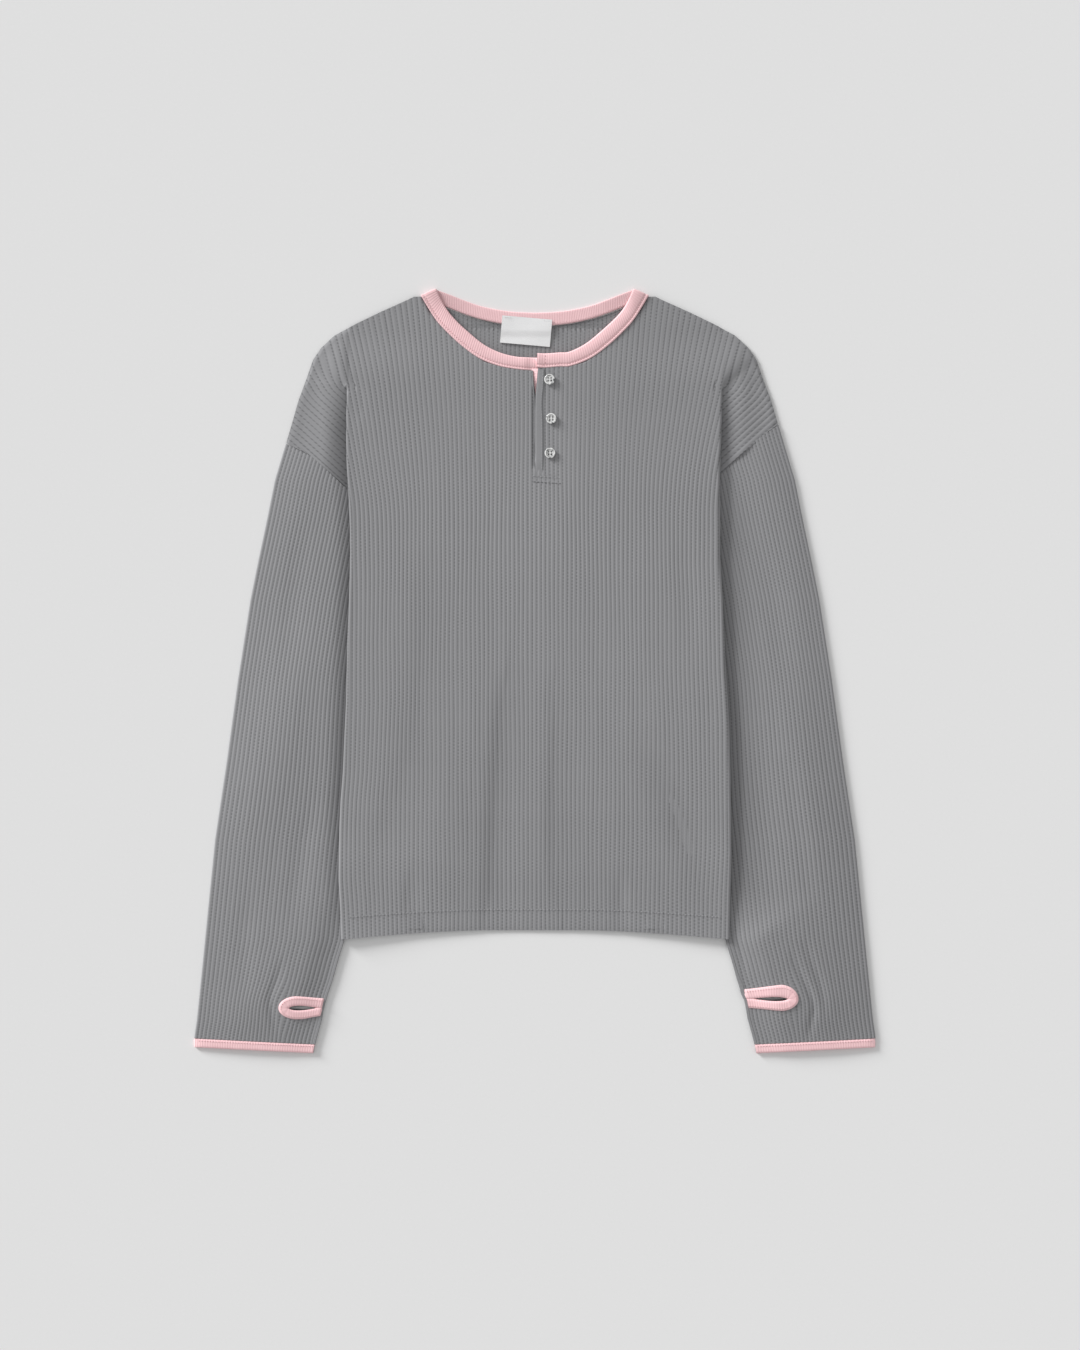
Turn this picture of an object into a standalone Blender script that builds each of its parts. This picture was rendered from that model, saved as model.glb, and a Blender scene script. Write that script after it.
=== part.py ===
"""A long-sleeved rib-knit henley, laid flat on its back, as true cloth walls.

The body's sides are turned under and the sleeves lie straight down beside it, tucked
beneath. Sizes are in millimetres and are turned into metres when a mesh is made.
X runs across the shirt, Y from hem to neck, and Z up from the surface that it lies on.
The two halves are alike, so tables give distances from the centre line.
"""

import math

import bmesh
import bpy

MM = 0.001

# Cloth
WALL = 1.1
SEAM_GAP = 0.3
RIB_HEIGHT = 0.4
RIB_PITCH = 4.0
SLEEVE_RIBS = 30

# The stack of layers at the turned-under sides, as heights of the walls' middles
FLOOR_WALL = WALL / 2
SLEEVE_TOP = 2.05
CHEST_RISE = 1.5
INNER_FOLD_RADIUS = 0.85
OUTER_FOLD_RADIUS = 1.85
APEX_FOLD_RADIUS = 0.75
TONGUE_BOTTOM = 4.65
TONGUE_TOP = 6.55
PUFF = 2.0

# Levels along Y
HEM_Y = -237.8
HEM_CORNER_DROP = 10.1
BACK_HEM_Y = -236.5
ARMPIT_Y = 139.4
SLIT_BASE_Y = 185.4
FOLD_APEX_Y = 263.6
NECK_FRONT_Y = 276.5
NECK_BACK_Y = 316.9
CUFF_SEAM_Y = -342.6
CUFF_Y = -351.0
CUFF_OUTER_RISE = 5.5
HEM_CORNER_X = 185.0
HEM_DROP_START_X = 45.0

SLIT_GAP = 0.3
SLIT_TOP_GAP = 2.6

# The outline's half width at heights up the shirt
OUTLINE = (
    # y, half_width
    (-345.5, 313.3),
    (-302.2, 308.7),
    (-228.6, 301.3),
    (-155.0, 293.9),
    (-81.4, 282.9),
    (-7.8, 272.8),
    (65.8, 261.3),
    (102.6, 253.9),
    (139.4, 246.1),
    (176.2, 238.7),
    (213.0, 227.7),
    (249.8, 217.1),
    (268.2, 210.2),
    (286.6, 203.8),
    (297.6, 196.4),
    (308.7, 184.5),
    (319.7, 164.2),
    (330.7, 141.2),
    (341.8, 116.4),
    (346.0, 108.0),
)

# Where the body's side turns under, and how far it is turned
SIDE_FOLD = (
    # y, edge, turned_under
    (-248.0, 178.0, 64.4),
    (-190.0, 178.5, 63.5),
    (-26.0, 175.7, 61.0),
    (110.0, 172.0, 59.5),
    (139.4, 172.3, 58.0),
    (185.4, 172.5, 44.0),
    (213.0, 172.5, 30.0),
    (245.2, 172.5, 11.0),
    (254.4, 172.5, 4.0),
    (263.6, 172.5, 0.0),
)

# The sleeve's inner edge, hidden under the body down to the hem's corner
SLEEVE_INNER = (
    # y, x
    (-351.0, 204.7),
    (-339.0, 202.4),
    (-320.6, 197.3),
    (-302.2, 193.7),
    (-283.8, 187.3),
    (-265.4, 182.2),
    (-247.0, 176.5),
    (139.4, 114.3),
)

# The armhole seam on the left and on the right, from the armpit to the shoulder's end
ARMHOLE = (
    # y, left_x, right_x
    (139.4, 114.3, 114.3),
    (153.2, 147.0, 138.0),
    (169.9, 174.3, 157.0),
    (185.4, 191.0, 174.5),
    (197.0, 203.0, 184.6),
    (209.7, 228.7, 197.7),
    (226.8, 223.9, 223.9),
)

# The front's and the back's neck edges, where the binding is sewn on
NECK_FRONT = (
    # y, x
    (276.5, 2.6),
    (280.1, 32.0),
    (284.7, 46.7),
    (294.9, 61.5),
    (306.8, 76.2),
    (322.5, 90.9),
    (331.7, 98.3),
    (344.5, 104.7),
)
NECK_BACK = (
    # y, x
    (316.9, 0.0),
    (318.0, 24.0),
    (321.3, 44.0),
    (326.3, 61.5),
    (333.3, 80.0),
    (343.6, 105.5),
)

# The neck binding's finished and sewn edges, from the placket to the shoulder
BINDING_FRONT = (
    # inner_x, inner_y, outer_x, outer_y
    (3.0, 289.4, 3.0, 276.9),
    (17.3, 290.3, 17.3, 277.8),
    (32.0, 294.0, 33.0, 280.6),
    (46.7, 301.3, 50.6, 287.4),
    (61.5, 313.3, 66.2, 298.4),
    (76.2, 327.1, 81.0, 312.0),
    (84.2, 338.1, 92.4, 325.0),
    (90.1, 350.9, 104.6, 344.8),
)
BINDING_BACK = (
    # inner_x, inner_y, outer_x, outer_y
    (90.1, 350.9, 104.6, 344.8),
    (79.0, 346.8, 80.0, 334.6),
    (61.5, 340.0, 61.5, 327.4),
    (46.7, 335.3, 44.0, 322.4),
    (24.0, 331.2, 24.0, 318.9),
    (0.0, 329.8, 0.0, 317.8),
)
BINDING_SHAPE = (
    # share of the width from the finished edge, share of the thickness
    (0.0, 0.5),
    (0.12, 1.0),
    (0.96, 1.0),
    (0.96, 0.0),
    (0.12, 0.0),
)
TIP_DIRECTION = (0.39, 0.92)
BINDING_THICK = 2.0
BINDING_BACK_FLOOR = 0.0
BINDING_FRONT_FLOOR = 2.65

# Trims
BUTTON_DIAMETER = 10.2
BUTTONS = (
    # name, x, y
    ("button_1", 13.6, 268.2),
    ("button_2", 15.1, 232.3),
    ("button_3", 14.0, 200.6),
)
BUTTON_PROFILE = (
    # radius, height
    (0.0, 1.3),
    (3.0, 1.35),
    (3.9, 2.1),
    (4.7, 2.1),
    (5.1, 1.5),
    (4.6, 0.5),
    (3.4, 0.0),
    (0.0, 0.0),
)
BAND = (0.7, 7.6, 179.5, 275.5)
UNDERLAP = (-4.0, 26.0, 177.0, 279.6)
BAND_THICK = 1.0
LABEL_SIZE = (46.0, 25.0)
LABEL_CENTRE = (-8.0, 312.9)
LABEL_TILT = -5.0
LABEL_THICK = 1.0

# The thumbholes: slits that run round the sleeve's inner edge
THUMBHOLE = {
    # side: (slit's middle y, slit's outer end x, binding's outer end x)
    -1: (-310.2, 225.6, 235.5),
    1: (-301.3, 232.0, 242.0),
}
THUMBHOLE_HEIGHT = 5.2
THUMBHOLE_BAND = 8.0

# How the ribs fan out over the chest
FAN_START_Y = 144.0
FAN_RISE = 151.8
FAN_SPREAD = 14.7
FAN_WIDTH = 118.7

GREY = (0.250, 0.252, 0.256)
PINK = (0.800, 0.540, 0.560)
PEARL = (0.620, 0.600, 0.570)
WHITE = (0.850, 0.850, 0.840)


def table(rows, at, column=1):
    """The value of a table's column at a place along its first column."""
    rows = sorted(rows)
    if at <= rows[0][0]:
        return rows[0][column]
    for low, high in zip(rows, rows[1:]):
        if at <= high[0]:
            part = (at - low[0]) / (high[0] - low[0])
            return low[column] + part * (high[column] - low[column])
    return rows[-1][column]


def smooth(value):
    """An even rise from 0 to 1 while the value goes from 0 to 1."""
    value = min(1.0, max(0.0, value))
    return value * value * (3 - 2 * value)


def half_width(y):
    """The shirt's half width at a height."""
    return table(OUTLINE, y)


def hem_drop(x):
    """How much lower the front's hem hangs towards its corners."""
    return HEM_CORNER_DROP * smooth((x - HEM_DROP_START_X) / (HEM_CORNER_X - HEM_DROP_START_X))


# The front panel's path from the centre line outwards: over the top, round the side's
# fold, back beneath it, and above the armpit out again to the armhole.


class SideStack:
    """The layers of a body side at one height up the shirt."""

    def __init__(self, y):
        """Works out the walls' middle heights and the fold's place at a height."""
        grow = smooth((FOLD_APEX_Y - y) / 110)
        self.y = y
        self.turned = table(SIDE_FOLD, y, 2)
        self.outer = APEX_FOLD_RADIUS + (OUTER_FOLD_RADIUS - APEX_FOLD_RADIUS) * grow
        self.inner = INNER_FOLD_RADIUS
        self.folded = y < FOLD_APEX_Y
        self.cap = SLEEVE_TOP
        self.under = self.cap + 2 * self.inner
        self.top = self.under + 2 * self.outer
        if not self.folded:
            step = self.top - self.cap
            self.top = self.cap + 0.55 * step * (1 - smooth((y - FOLD_APEX_Y) / 60))
        self.edge = table(SIDE_FOLD, y) - self.outer - WALL / 2
        self.centre = SLEEVE_TOP + CHEST_RISE * smooth((y - 40) / 100)
        self.nose = self.edge - self.turned

    def top_height(self, x):
        """The middle of the upper wall, low at the centre and high at the side."""
        start = min(self.nose, 125) - 55
        rise = smooth((x - start) / 45)
        return self.centre + (self.top - self.centre) * rise

    def cap_height(self, x):
        """The shoulder cap's wall beyond the fold."""
        if self.folded:
            return self.cap
        fall = smooth((x - self.edge) / (12 + (self.y - FOLD_APEX_Y)))
        return self.top_height(x) + (self.cap - self.top_height(x)) * fall

    def lines(self, armpit_open):
        """Points of the path past the top wall: order, x, z and outward normal."""
        made = []
        for step in range(1, 5):
            a = math.pi * step / 4
            x = self.edge + self.outer * math.sin(a)
            z = self.under + self.outer * (1 + math.cos(a))
            made.append((1000 + step, x, z, math.sin(a), math.cos(a)))
        if self.turned > 12:
            made.append((1010, self.edge - self.turned / 2, self.under, 0.0, -1.0))
        made.append((1020, self.nose, self.under, 0.0, -1.0))
        if armpit_open:
            for step in range(1, 5):
                a = math.pi * step / 4
                x = self.nose - self.inner * math.sin(a)
                z = self.under - self.inner * (1 - math.cos(a))
                made.append((1030 + step, x, z, math.sin(a), -math.cos(a)))
        return made


def rib_x(order, y):
    """Where the rib line that starts at order runs: ribs fan out over the chest."""
    rise = max(0.0, y - FAN_START_Y) / FAN_RISE
    return order + FAN_SPREAD * (order / FAN_WIDTH) ** 2 * rise**1.6


def armhole_x(side, y):
    """The panel's outer edge above the armpit."""
    return min(table(ARMHOLE, y, 1 if side < 0 else 2), half_width(y))


def neck_x(y):
    """The front's inner edge: the slit, then the neckline."""
    if y < SLIT_BASE_Y - 0.01:
        return 0.0
    if y <= NECK_FRONT_Y:
        return SLIT_GAP + (SLIT_TOP_GAP - SLIT_GAP) * smooth((y - 260) / 16)
    return table(NECK_FRONT, y)


def front_half(side, y, hem_share, ribbed):
    """One half of a row of the front: (order, x, y, z) from the centre outwards."""
    stack = SideStack(y)
    first, last = neck_x(y), armhole_x(side, y)
    open_armpit = y > ARMPIT_Y + 0.01
    columns = []
    ends_flat = not stack.folded and last < stack.edge
    limit = (last if ends_flat else stack.edge) - 0.9
    if ribbed:
        count = int(stack.edge / (RIB_PITCH / 2)) + 1
        for k in range(count):
            order = k * RIB_PITCH / 2
            x = rib_x(order, y)
            if first + 0.9 < x < limit or (k == 0 and first == 0.0):
                columns.append((order, x, k % 2 == 0))
        if first > 0:
            columns.insert(0, (0.0 if y <= NECK_FRONT_Y else columns[0][0] - 0.5, first, False))
    else:
        shares = (0.0, 0.15, 0.3, 0.42, 0.54, 0.66, 0.78, 0.9)
        columns = [(share, first + share * (limit - first), False) for share in shares]
    points = [
        (order, x, stack.top_height(x), 0.0, 1.0, RIB_HEIGHT * crest)
        for order, x, crest in columns
    ]
    if ends_flat:
        points.append((999, last, stack.top_height(last), 0.0, 1.0, 0.0))
    else:
        points.append((999, stack.edge, stack.top_height(stack.edge), 0.0, 1.0, 0.0))
        if stack.folded:
            points += [line + (0.0,) for line in stack.lines(open_armpit)]
            points += cap_columns(stack, y, last, ribbed) if open_armpit else []
        else:
            points += cap_columns(stack, y, last, ribbed)
    offset = WALL / 2 if ribbed else -WALL / 2
    row = []
    for order, x, z, nx, nz, rib in points:
        move = offset + rib
        drop = hem_drop(min(x, HEM_CORNER_X)) * hem_share
        row.append((order, x + nx * move, y - drop, z + nz * move))
    return row


def cap_columns(stack, y, last, ribbed):
    """The shoulder cap's columns, from under the body's fold to its outer edge."""
    start = stack.nose if stack.folded else stack.edge
    made = []
    if stack.folded:
        made.append((1990, start + 0.1, stack.cap, 0.0, 1.0, 0.0))
        shown = max(start + 1.5, 172.5 - 24)
    else:
        shown = start + 0.9
    if ribbed:
        for k in range(int(last + 130)):
            order = k * RIB_PITCH / 2
            x = rib_x(order, y) - 2 * stack.turned
            if shown < x < last - 0.9 and order > 60:
                seen = 1.0 if x > 171 else 0.0
                z = stack.cap_height(x)
                made.append((2000 + order, x, z, 0.0, 1.0, RIB_HEIGHT * (k % 2 == 0) * seen))
    else:
        for share in (0.25, 0.5, 0.75):
            x = start + share * (last - start)
            made.append((2000 + share, x, stack.cap_height(x), 0.0, 1.0, 0.0))
    made.append((9000, last, stack.cap_height(last), 0.0, 1.0, 0.0))
    return made


def mirrored(row):
    """A half row on the left side, in the same left-to-right sense."""
    return [(-order, -x, y, z) for order, x, y, z in reversed(row)]


FRONT_ROWS = (
    # y, hem_share
    (HEM_Y, 1.0),
    (-150.0, 0.35),
    (-10.0, 0.0),
    (ARMPIT_Y, 0.0),
    (153.2, 0.0),
    (169.9, 0.0),
    (SLIT_BASE_Y, 0.0),
)
FRONT_UPPER_ROWS = (SLIT_BASE_Y, 197.0, 209.7, 226.8, 245.2, 254.4, FOLD_APEX_Y, NECK_FRONT_Y)
FRONT_NECK_ROWS = (280.1, 284.7, 294.9, 306.8, 319.7, 331.7, 342.5)


class Skin:
    """One side of a cloth wall: triangles between rows of ordered points."""

    def __init__(self):
        """Starts an empty skin."""
        self.points = []
        self.index = {}
        self.faces = []

    def at(self, co):
        """The number of the point at a place, added if it is new."""
        key = tuple(round(value, 4) for value in co)
        if key not in self.index:
            self.index[key] = len(self.points)
            self.points.append(co)
        return self.index[key]

    def strip(self, low, high):
        """Joins two rows, going on along whichever has the lower next order."""
        a = [(point[0], self.at(point[1:])) for point in low]
        b = [(point[0], self.at(point[1:])) for point in high]
        i = j = 0
        while i < len(a) - 1 or j < len(b) - 1:
            step_a = i < len(a) - 1
            if step_a and j < len(b) - 1:
                step_a = a[i + 1][0] + a[i][0] * 1e-9 <= b[j + 1][0]
            if step_a:
                face = (a[i][1], a[i + 1][1], b[j][1])
                i += 1
            else:
                face = (a[i][1], b[j + 1][1], b[j][1])
                j += 1
            if len(set(face)) == 3:
                self.faces.append(face)

    def rows(self, rows):
        """Joins each row to the next."""
        for low, high in zip(rows, rows[1:]):
            self.strip(low, high)

    def loops(self):
        """The open edges as closed loops of points, in the faces' own sense."""
        after = {}
        used = {(f[i], f[(i + 1) % 3]) for f in self.faces for i in range(3)}
        for a, b in used:
            if (b, a) not in used:
                after.setdefault(a, []).append(b)
        found = []
        while after:
            start = next(iter(after))
            loop = [start]
            while True:
                here = loop[-1]
                ahead = after[here].pop()
                if not after[here]:
                    del after[here]
                if ahead == start:
                    break
                loop.append(ahead)
            found.append(loop)
        return found


def close_rim(outer, inner, faces, offset):
    """Joins each open loop of the outer skin to the inner skin's loop beside it."""
    inner_loops = inner.loops()
    for loop in outer.loops():
        here = [outer.points[i] for i in loop]
        beside = min(
            inner_loops,
            key=lambda other: sum(
                min(math.dist(here[n], inner.points[i]) for i in other)
                for n in range(0, len(here), max(1, len(here) // 12))
            ),
        )
        inner_loops.remove(beside)
        there = [inner.points[i] for i in beside]
        if not same_sense(here, there):
            beside, there = beside[::-1], there[::-1]
        start_i, start_j = min(
            ((i, j) for i in range(len(here)) for j in range(len(there))),
            key=lambda pair: math.dist(here[pair[0]], there[pair[1]]),
        )
        i = j = 0
        n, m = len(here), len(there)
        while i < n or j < m:
            a, b = (start_i + i) % n, (start_j + j) % m
            a_next, b_next = (a + 1) % n, (b + 1) % m
            go_a = j >= m or (
                i < n and math.dist(here[a_next], there[b]) <= math.dist(here[a], there[b_next])
            )
            if go_a:
                faces.append((loop[a_next], loop[a], offset + beside[b]))
                i += 1
            else:
                faces.append((loop[a], offset + beside[b], offset + beside[b_next]))
                j += 1


def same_sense(here, there):
    """Whether two loops that lie side by side run the same way round."""
    def turned(order):
        """How far the other loop's nearest points move round, as a signed count."""
        nearest = [
            min(range(len(there)), key=lambda i: math.dist(point, order[i]))
            for point in here[:: max(1, len(here) // 24)]
        ]
        steps = [(b - a) % len(there) for a, b in zip(nearest, nearest[1:])]
        return sum(step if step < len(there) / 2 else step - len(there) for step in steps)

    return turned(there) > 0


def wall(name, outer, inner, material, collection):
    """A closed solid from an outer skin, an inner skin and the rims between them."""
    offset = len(outer.points)
    faces = list(outer.faces)
    faces += [(offset + a, offset + c, offset + b) for a, b, c in inner.faces]
    close_rim(outer, inner, faces, offset)
    points = [tuple(value * MM for value in p) for p in outer.points + inner.points]
    return add_mesh(name, points, faces, material, collection)


def add_mesh(name, points, faces, material, collection):
    """An object from points in metres and faces."""
    mesh = bpy.data.meshes.new(name)
    mesh.from_pydata(points, [], faces)
    mesh.validate()
    mesh.update()
    mesh.materials.append(material)
    piece = bpy.data.objects.new(name, mesh)
    collection.objects.link(piece)
    return piece


def front_skin(ribbed):
    """The front's outer or inner skin, with the slit left open."""
    skin = Skin()

    def whole(y, share):
        """A row from the left side to the right one."""
        halves = [front_half(side, y, share, ribbed) for side in (-1, 1)]
        left = mirrored(halves[0])
        if neck_x(y) == 0.0:
            return left[:-1] + halves[1]
        return left + halves[1]

    skin.rows([whole(y, share) for y, share in FRONT_ROWS])
    for side in (-1, 1):
        rows = [front_half(side, y, 0.0, ribbed) for y in FRONT_UPPER_ROWS + FRONT_NECK_ROWS]
        skin.rows([mirrored(row) for row in rows] if side < 0 else rows)
    return skin


# The back: on the surface at its middle, and between the front's layers at its sides.

BACK_ROWS = (
    # y, reach past the inner fold as a share of the turned width, side_lift
    (BACK_HEM_Y, 1.0, 1.0),
    (-120.0, 1.0, 1.0),
    (0.0, 1.0, 1.0),
    (72.0, 1.0, 1.0),
    (98.0, 0.0, 1.0),
    (118.0, 0.0, 0.6),
    (ARMPIT_Y, 0.0, 0.0),
)
BACK_UPPER_ROWS = (
    153.2,
    169.9,
    SLIT_BASE_Y,
    197.0,
    209.7,
    226.8,
    249.8,
    268.2,
    286.6,
    297.6,
    308.7,
    NECK_BACK_Y,
)
BACK_NECK_ROWS = (NECK_BACK_Y, 318.0, 321.3, 326.3, 333.3, 342.0)


def back_half(side, y, reach, lift, upper):
    """One half of a row of the back's upper or lower skin."""
    stack = SideStack(y)
    row = []
    if y > ARMPIT_Y + 0.01:
        first = table(NECK_BACK, y) if y > NECK_BACK_Y + 0.01 else 0.0
        last = armhole_x(side, y)
        for share in (0.0, 0.12, 0.24, 0.36, 0.48, 0.6, 0.72, 0.8, 0.88, 1.0):
            row.append((share, first + share * (last - first), y, WALL if upper else 0.0))
        return row
    ramp_end = stack.nose - 3
    ramp_start = ramp_end - 38
    columns = [(0.0, 0.0), (0.12, ramp_start / 2), (0.24, ramp_start)]
    columns += [(0.24 + 0.12 * n, ramp_start + 38 * n / 4) for n in range(1, 5)]
    tip = stack.edge - 8 if reach else ramp_end
    tongue = [(0.8, 0.15), (0.88, 0.6), (1.0, 1.0)]
    for order, x in columns:
        rise = lift * smooth((x - ramp_start) / 38)
        bottom = TONGUE_BOTTOM * rise
        row.append((order, x, y, bottom + (WALL if upper else 0.0)))
    for order, share in tongue:
        x = ramp_end + max(share * (tip - ramp_end), (order - 0.7) * 2)
        bottom = TONGUE_BOTTOM * lift
        thick = WALL + (TONGUE_TOP - TONGUE_BOTTOM - WALL) * min(1, share * 4) * reach
        inset = 0.35 if share == 1.0 else 0.0
        row.append((order, x, y, bottom + (thick - inset if upper else inset)))
    return row


def back_skin(upper):
    """The back's upper or lower skin."""
    skin = Skin()

    def whole(y, reach, lift):
        """A row from the left side to the right one."""
        left, right = (back_half(side, y, reach, lift, upper) for side in (-1, 1))
        return mirrored(left)[:-1] + right

    rows = [whole(*row) for row in BACK_ROWS] + [whole(y, 0, 0) for y in BACK_UPPER_ROWS]
    skin.rows(rows)
    for side in (-1, 1):
        halves = [back_half(side, y, 0, 0, upper) for y in BACK_NECK_ROWS]
        skin.rows([mirrored(row) for row in halves] if side < 0 else halves)
    return skin


# The sleeves: flat tubes, open at the armhole and the cuff, with a thumbhole slit.


def sleeve_puff(x, y, inner, outer):
    """How far the sleeve's top stands up between the body's edge and the outline."""
    body_edge = table(SIDE_FOLD, y) + 2
    start = body_edge + (inner - body_edge) * smooth((-232 - y) / 30)
    if x <= start or x >= outer:
        return 0.0
    share = (x - start) / (outer - start)
    return PUFF * math.sin(math.pi * share) ** 0.8 * (1 - smooth((-300 - y) / 50) * 0.6)


def sleeve_row(side, y, ribbed, bottom_rise, stop=None):
    """A row round the sleeve, from its inner edge over the top and back beneath."""
    inner, outer = table(SLEEVE_INNER, y), half_width(y)
    is_open = y > ARMPIT_Y + 0.01
    offset = WALL / 2 if ribbed else -WALL / 2
    fold = (SLEEVE_TOP - FLOOR_WALL) / 2
    left, right = inner + fold + WALL / 2, outer - fold - WALL / 2
    if is_open:
        left = min(armhole_x(side, y) + SEAM_GAP, right - 0.1)
    pitch = min(3.78 + 0.45 * smooth((20 - y) / 180), (outer - inner) / SLEEVE_RIBS)
    top = []
    if not is_open:
        for step in (0, 1):
            a = math.pi / 2 * step / 2
            top.append((step, left - fold * math.cos(a), (SLEEVE_TOP + FLOOR_WALL) / 2
                        + fold * math.sin(a), -math.cos(a), math.sin(a), 0.0))
    flats = [left]
    if stop and stop > left:
        flats.append(stop)
    if ribbed:
        lines = []
        for k in range(2 * SLEEVE_RIBS, 0, -1):
            x = right + 0.5 - k * pitch / 2
            hidden = y > -247 and x < table(SIDE_FOLD, y) - 4
            clear = all(abs(x - flat) > 0.9 for flat in flats)
            if left < x < right - 0.4 and clear and not (hidden and k % 12):
                lines.append((2000 - k, x, k % 2 == 0 and not hidden))
        lines += [(1000 if n == 0 else 2000 - (right + 0.5 - x) * 2 / pitch, x, False)
                  for n, x in enumerate(flats)]
    else:
        shares = (0.0, 0.25, 0.5, 0.62, 0.74, 0.86)
        lines = [(1000 + share, left + share * (right - left), False) for share in shares]
        lines += [(1000 + (x - left) / (right - left), x, False) for x in flats[1:]]
        lines = sorted(line for line in lines if all(
            line[1] == flat or abs(line[1] - flat) > 2 for flat in flats))
    for order, x, crest in sorted(lines):
        z = SLEEVE_TOP + sleeve_puff(x, y, left, right)
        top.append((order, x, z, 0.0, 1.0, RIB_HEIGHT * crest))
    for step in range(5):
        a = math.pi * step / 4
        top.append((3000 + step, right + fold * math.sin(a), (SLEEVE_TOP + FLOOR_WALL) / 2
                    + fold * math.cos(a), math.sin(a), math.cos(a), 0.0))
    unders = [(4000 + n, right + share * (left - right)) for n, share in
              enumerate((0.25, 0.5, 0.75))]
    if stop and stop > left:
        unders = [u for u in unders if abs(u[1] - stop) > 3] + [
            (4000 + (right - stop) / (right - left) * 4 - 1, stop)]
    unders.append((5000, left))
    for order, x in sorted(unders):
        top.append((order, x, FLOOR_WALL, 0.0, -1.0, 0.0))
    if not is_open:
        for step in (1, 2):
            a = math.pi / 2 * step / 2
            top.append((5000 + step, left - fold * math.sin(a), (SLEEVE_TOP + FLOOR_WALL) / 2
                        - fold * math.cos(a), -math.sin(a), -math.cos(a), 0.0))
    row = []
    for order, x, z, nx, nz, rib in top:
        move = offset + rib
        rise = bottom_rise * (x - inner) / (outer - inner)
        row.append((order, x + nx * move, y + rise, z + nz * move))
    return row


SLEEVE_OPEN_ROWS = {
    -1: (208.6, 197.0, SLIT_BASE_Y, 169.9, 153.2, ARMPIT_Y),
    1: (225.4, 209.7, 197.0, SLIT_BASE_Y, 169.9, 153.2, ARMPIT_Y),
}
SLEEVE_ROWS = (ARMPIT_Y, 66.0, -40.0, -150.0, -228.6, -247.0, -270.0, -288.0)


def sleeve_blocks(side, ribbed):
    """The sleeve's rows, low to high, in blocks that leave the thumbhole open."""
    middle_y, stop, _ = THUMBHOLE[side]
    low, high = middle_y - THUMBHOLE_HEIGHT / 2, middle_y + THUMBHOLE_HEIGHT / 2

    def row(y, rise=0.0, at=None):
        """A row of this sleeve."""
        return sleeve_row(side, y, ribbed, rise, at)

    below, above = row(low, 0.6, stop), row(high, 0.4, stop)
    cuff = row(CUFF_SEAM_Y, CUFF_OUTER_RISE)
    yield [cuff, row(low - 12, 1.5), below]
    yield [slit_part(below, stop), slit_part(above, stop)]
    yield [above] + [row(y) for y in reversed(SLEEVE_ROWS)]
    yield [row(y) for y in reversed(SLEEVE_OPEN_ROWS[side])]


def slit_part(row, stop):
    """The stretch of a sleeve row from the slit's end on top to its end beneath."""
    at = [n for n, point in enumerate(row) if abs(point[1] - stop) < 0.01]
    return row[at[0] : at[-1] + 1]


def sleeve_skin(side, ribbed):
    """The sleeve's outer or inner skin, with the thumbhole left open."""
    skin = Skin()
    for block in sleeve_blocks(side, ribbed):
        if side < 0:
            block = [mirrored(row) for row in block]
        skin.rows(block)
    return skin


def cuff_skin(side, outside):
    """The cuff binding's skin: a flat ring that carries on from the sleeve."""
    skin = Skin()
    rows = []
    for y, rise in ((CUFF_Y, CUFF_OUTER_RISE), (CUFF_SEAM_Y - SEAM_GAP, CUFF_OUTER_RISE)):
        full = sleeve_row(side, y, False, rise)
        rows.append(shift_row(full, WALL) if outside else full)
    skin.rows([mirrored(row) for row in rows] if side < 0 else rows)
    return skin


def shift_row(row, thick):
    """The outer skin's row over an inner skin's, at the wall's thickness."""
    count = len(row)
    moved = []
    for n, (order, x, y, z) in enumerate(row):
        back, ahead = row[max(0, n - 1)], row[min(count - 1, n + 1)]
        if n in (0, count - 1):
            back, ahead = row[-2], row[1]
        dx, dz = ahead[1] - back[1], ahead[3] - back[3]
        size = math.hypot(dx, dz) or 1.0
        moved.append((order, x - dz / size * thick, y, z + dx / size * thick))
    return moved


# Trims


def top_of_front(x, y):
    """The height of the front's outer face, ribs included."""
    return SideStack(y).top_height(abs(x)) + WALL / 2 + RIB_HEIGHT


def solid_strip(name, lows, highs, material, collection):
    """A closed solid between two grids of points that have the same rows."""
    outer, inner = Skin(), Skin()
    outer.rows(highs)
    inner.rows(lows)
    return wall(name, outer, inner, material, collection)


def add_band(material, collection):
    """The placket band, which follows the front's outer face along the slit."""
    x0, x1, y0, y1 = BAND
    rows = []
    for step in range(6):
        y = y0 + (y1 - y0) * step / 5
        lean = 0.6 * smooth((y - 235) / 25)
        rows.append([(n, x0 + lean + (x1 - x0) * n / 2, y) for n in range(3)])
    lows = [[(o, x, y, top_of_front(x, y) + SEAM_GAP) for o, x, y in row] for row in rows]
    highs = [[(o, x, y, z + BAND_THICK) for o, x, y, z in row] for row in lows]
    return solid_strip("placket_band", lows, highs, material, collection)


def add_underlap(material, collection):
    """The placket's underlap, which lies between the back and the slit."""
    x0, x1, y0, y1 = UNDERLAP
    low_z, high_z = WALL + SEAM_GAP, WALL + SEAM_GAP + BAND_THICK
    columns = [(n, x0 + (x1 - x0) * n / 3) for n in range(4)]
    grid = [[(n, x, y0 + (y1 - y0) * step / 4) for n, x in columns] for step in range(5)]
    lows = [[(n, x, y, low_z) for n, x, y in row] for row in grid]
    highs = [[(n, x, y, high_z) for n, x, y in row] for row in grid]
    return solid_strip("placket_underlap", lows, highs, material, collection)


def binding_section(edges, z_low, z_high, side):
    """A cross-section of the neck binding: a flat loop with a full finished edge."""
    ix, iy, ox, oy = edges
    made = []
    for share, height in BINDING_SHAPE:
        x, y = ix + share * (ox - ix), iy + share * (oy - iy)
        made.append((side * x, y, z_low + height * (z_high - z_low)))
    return made


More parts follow.
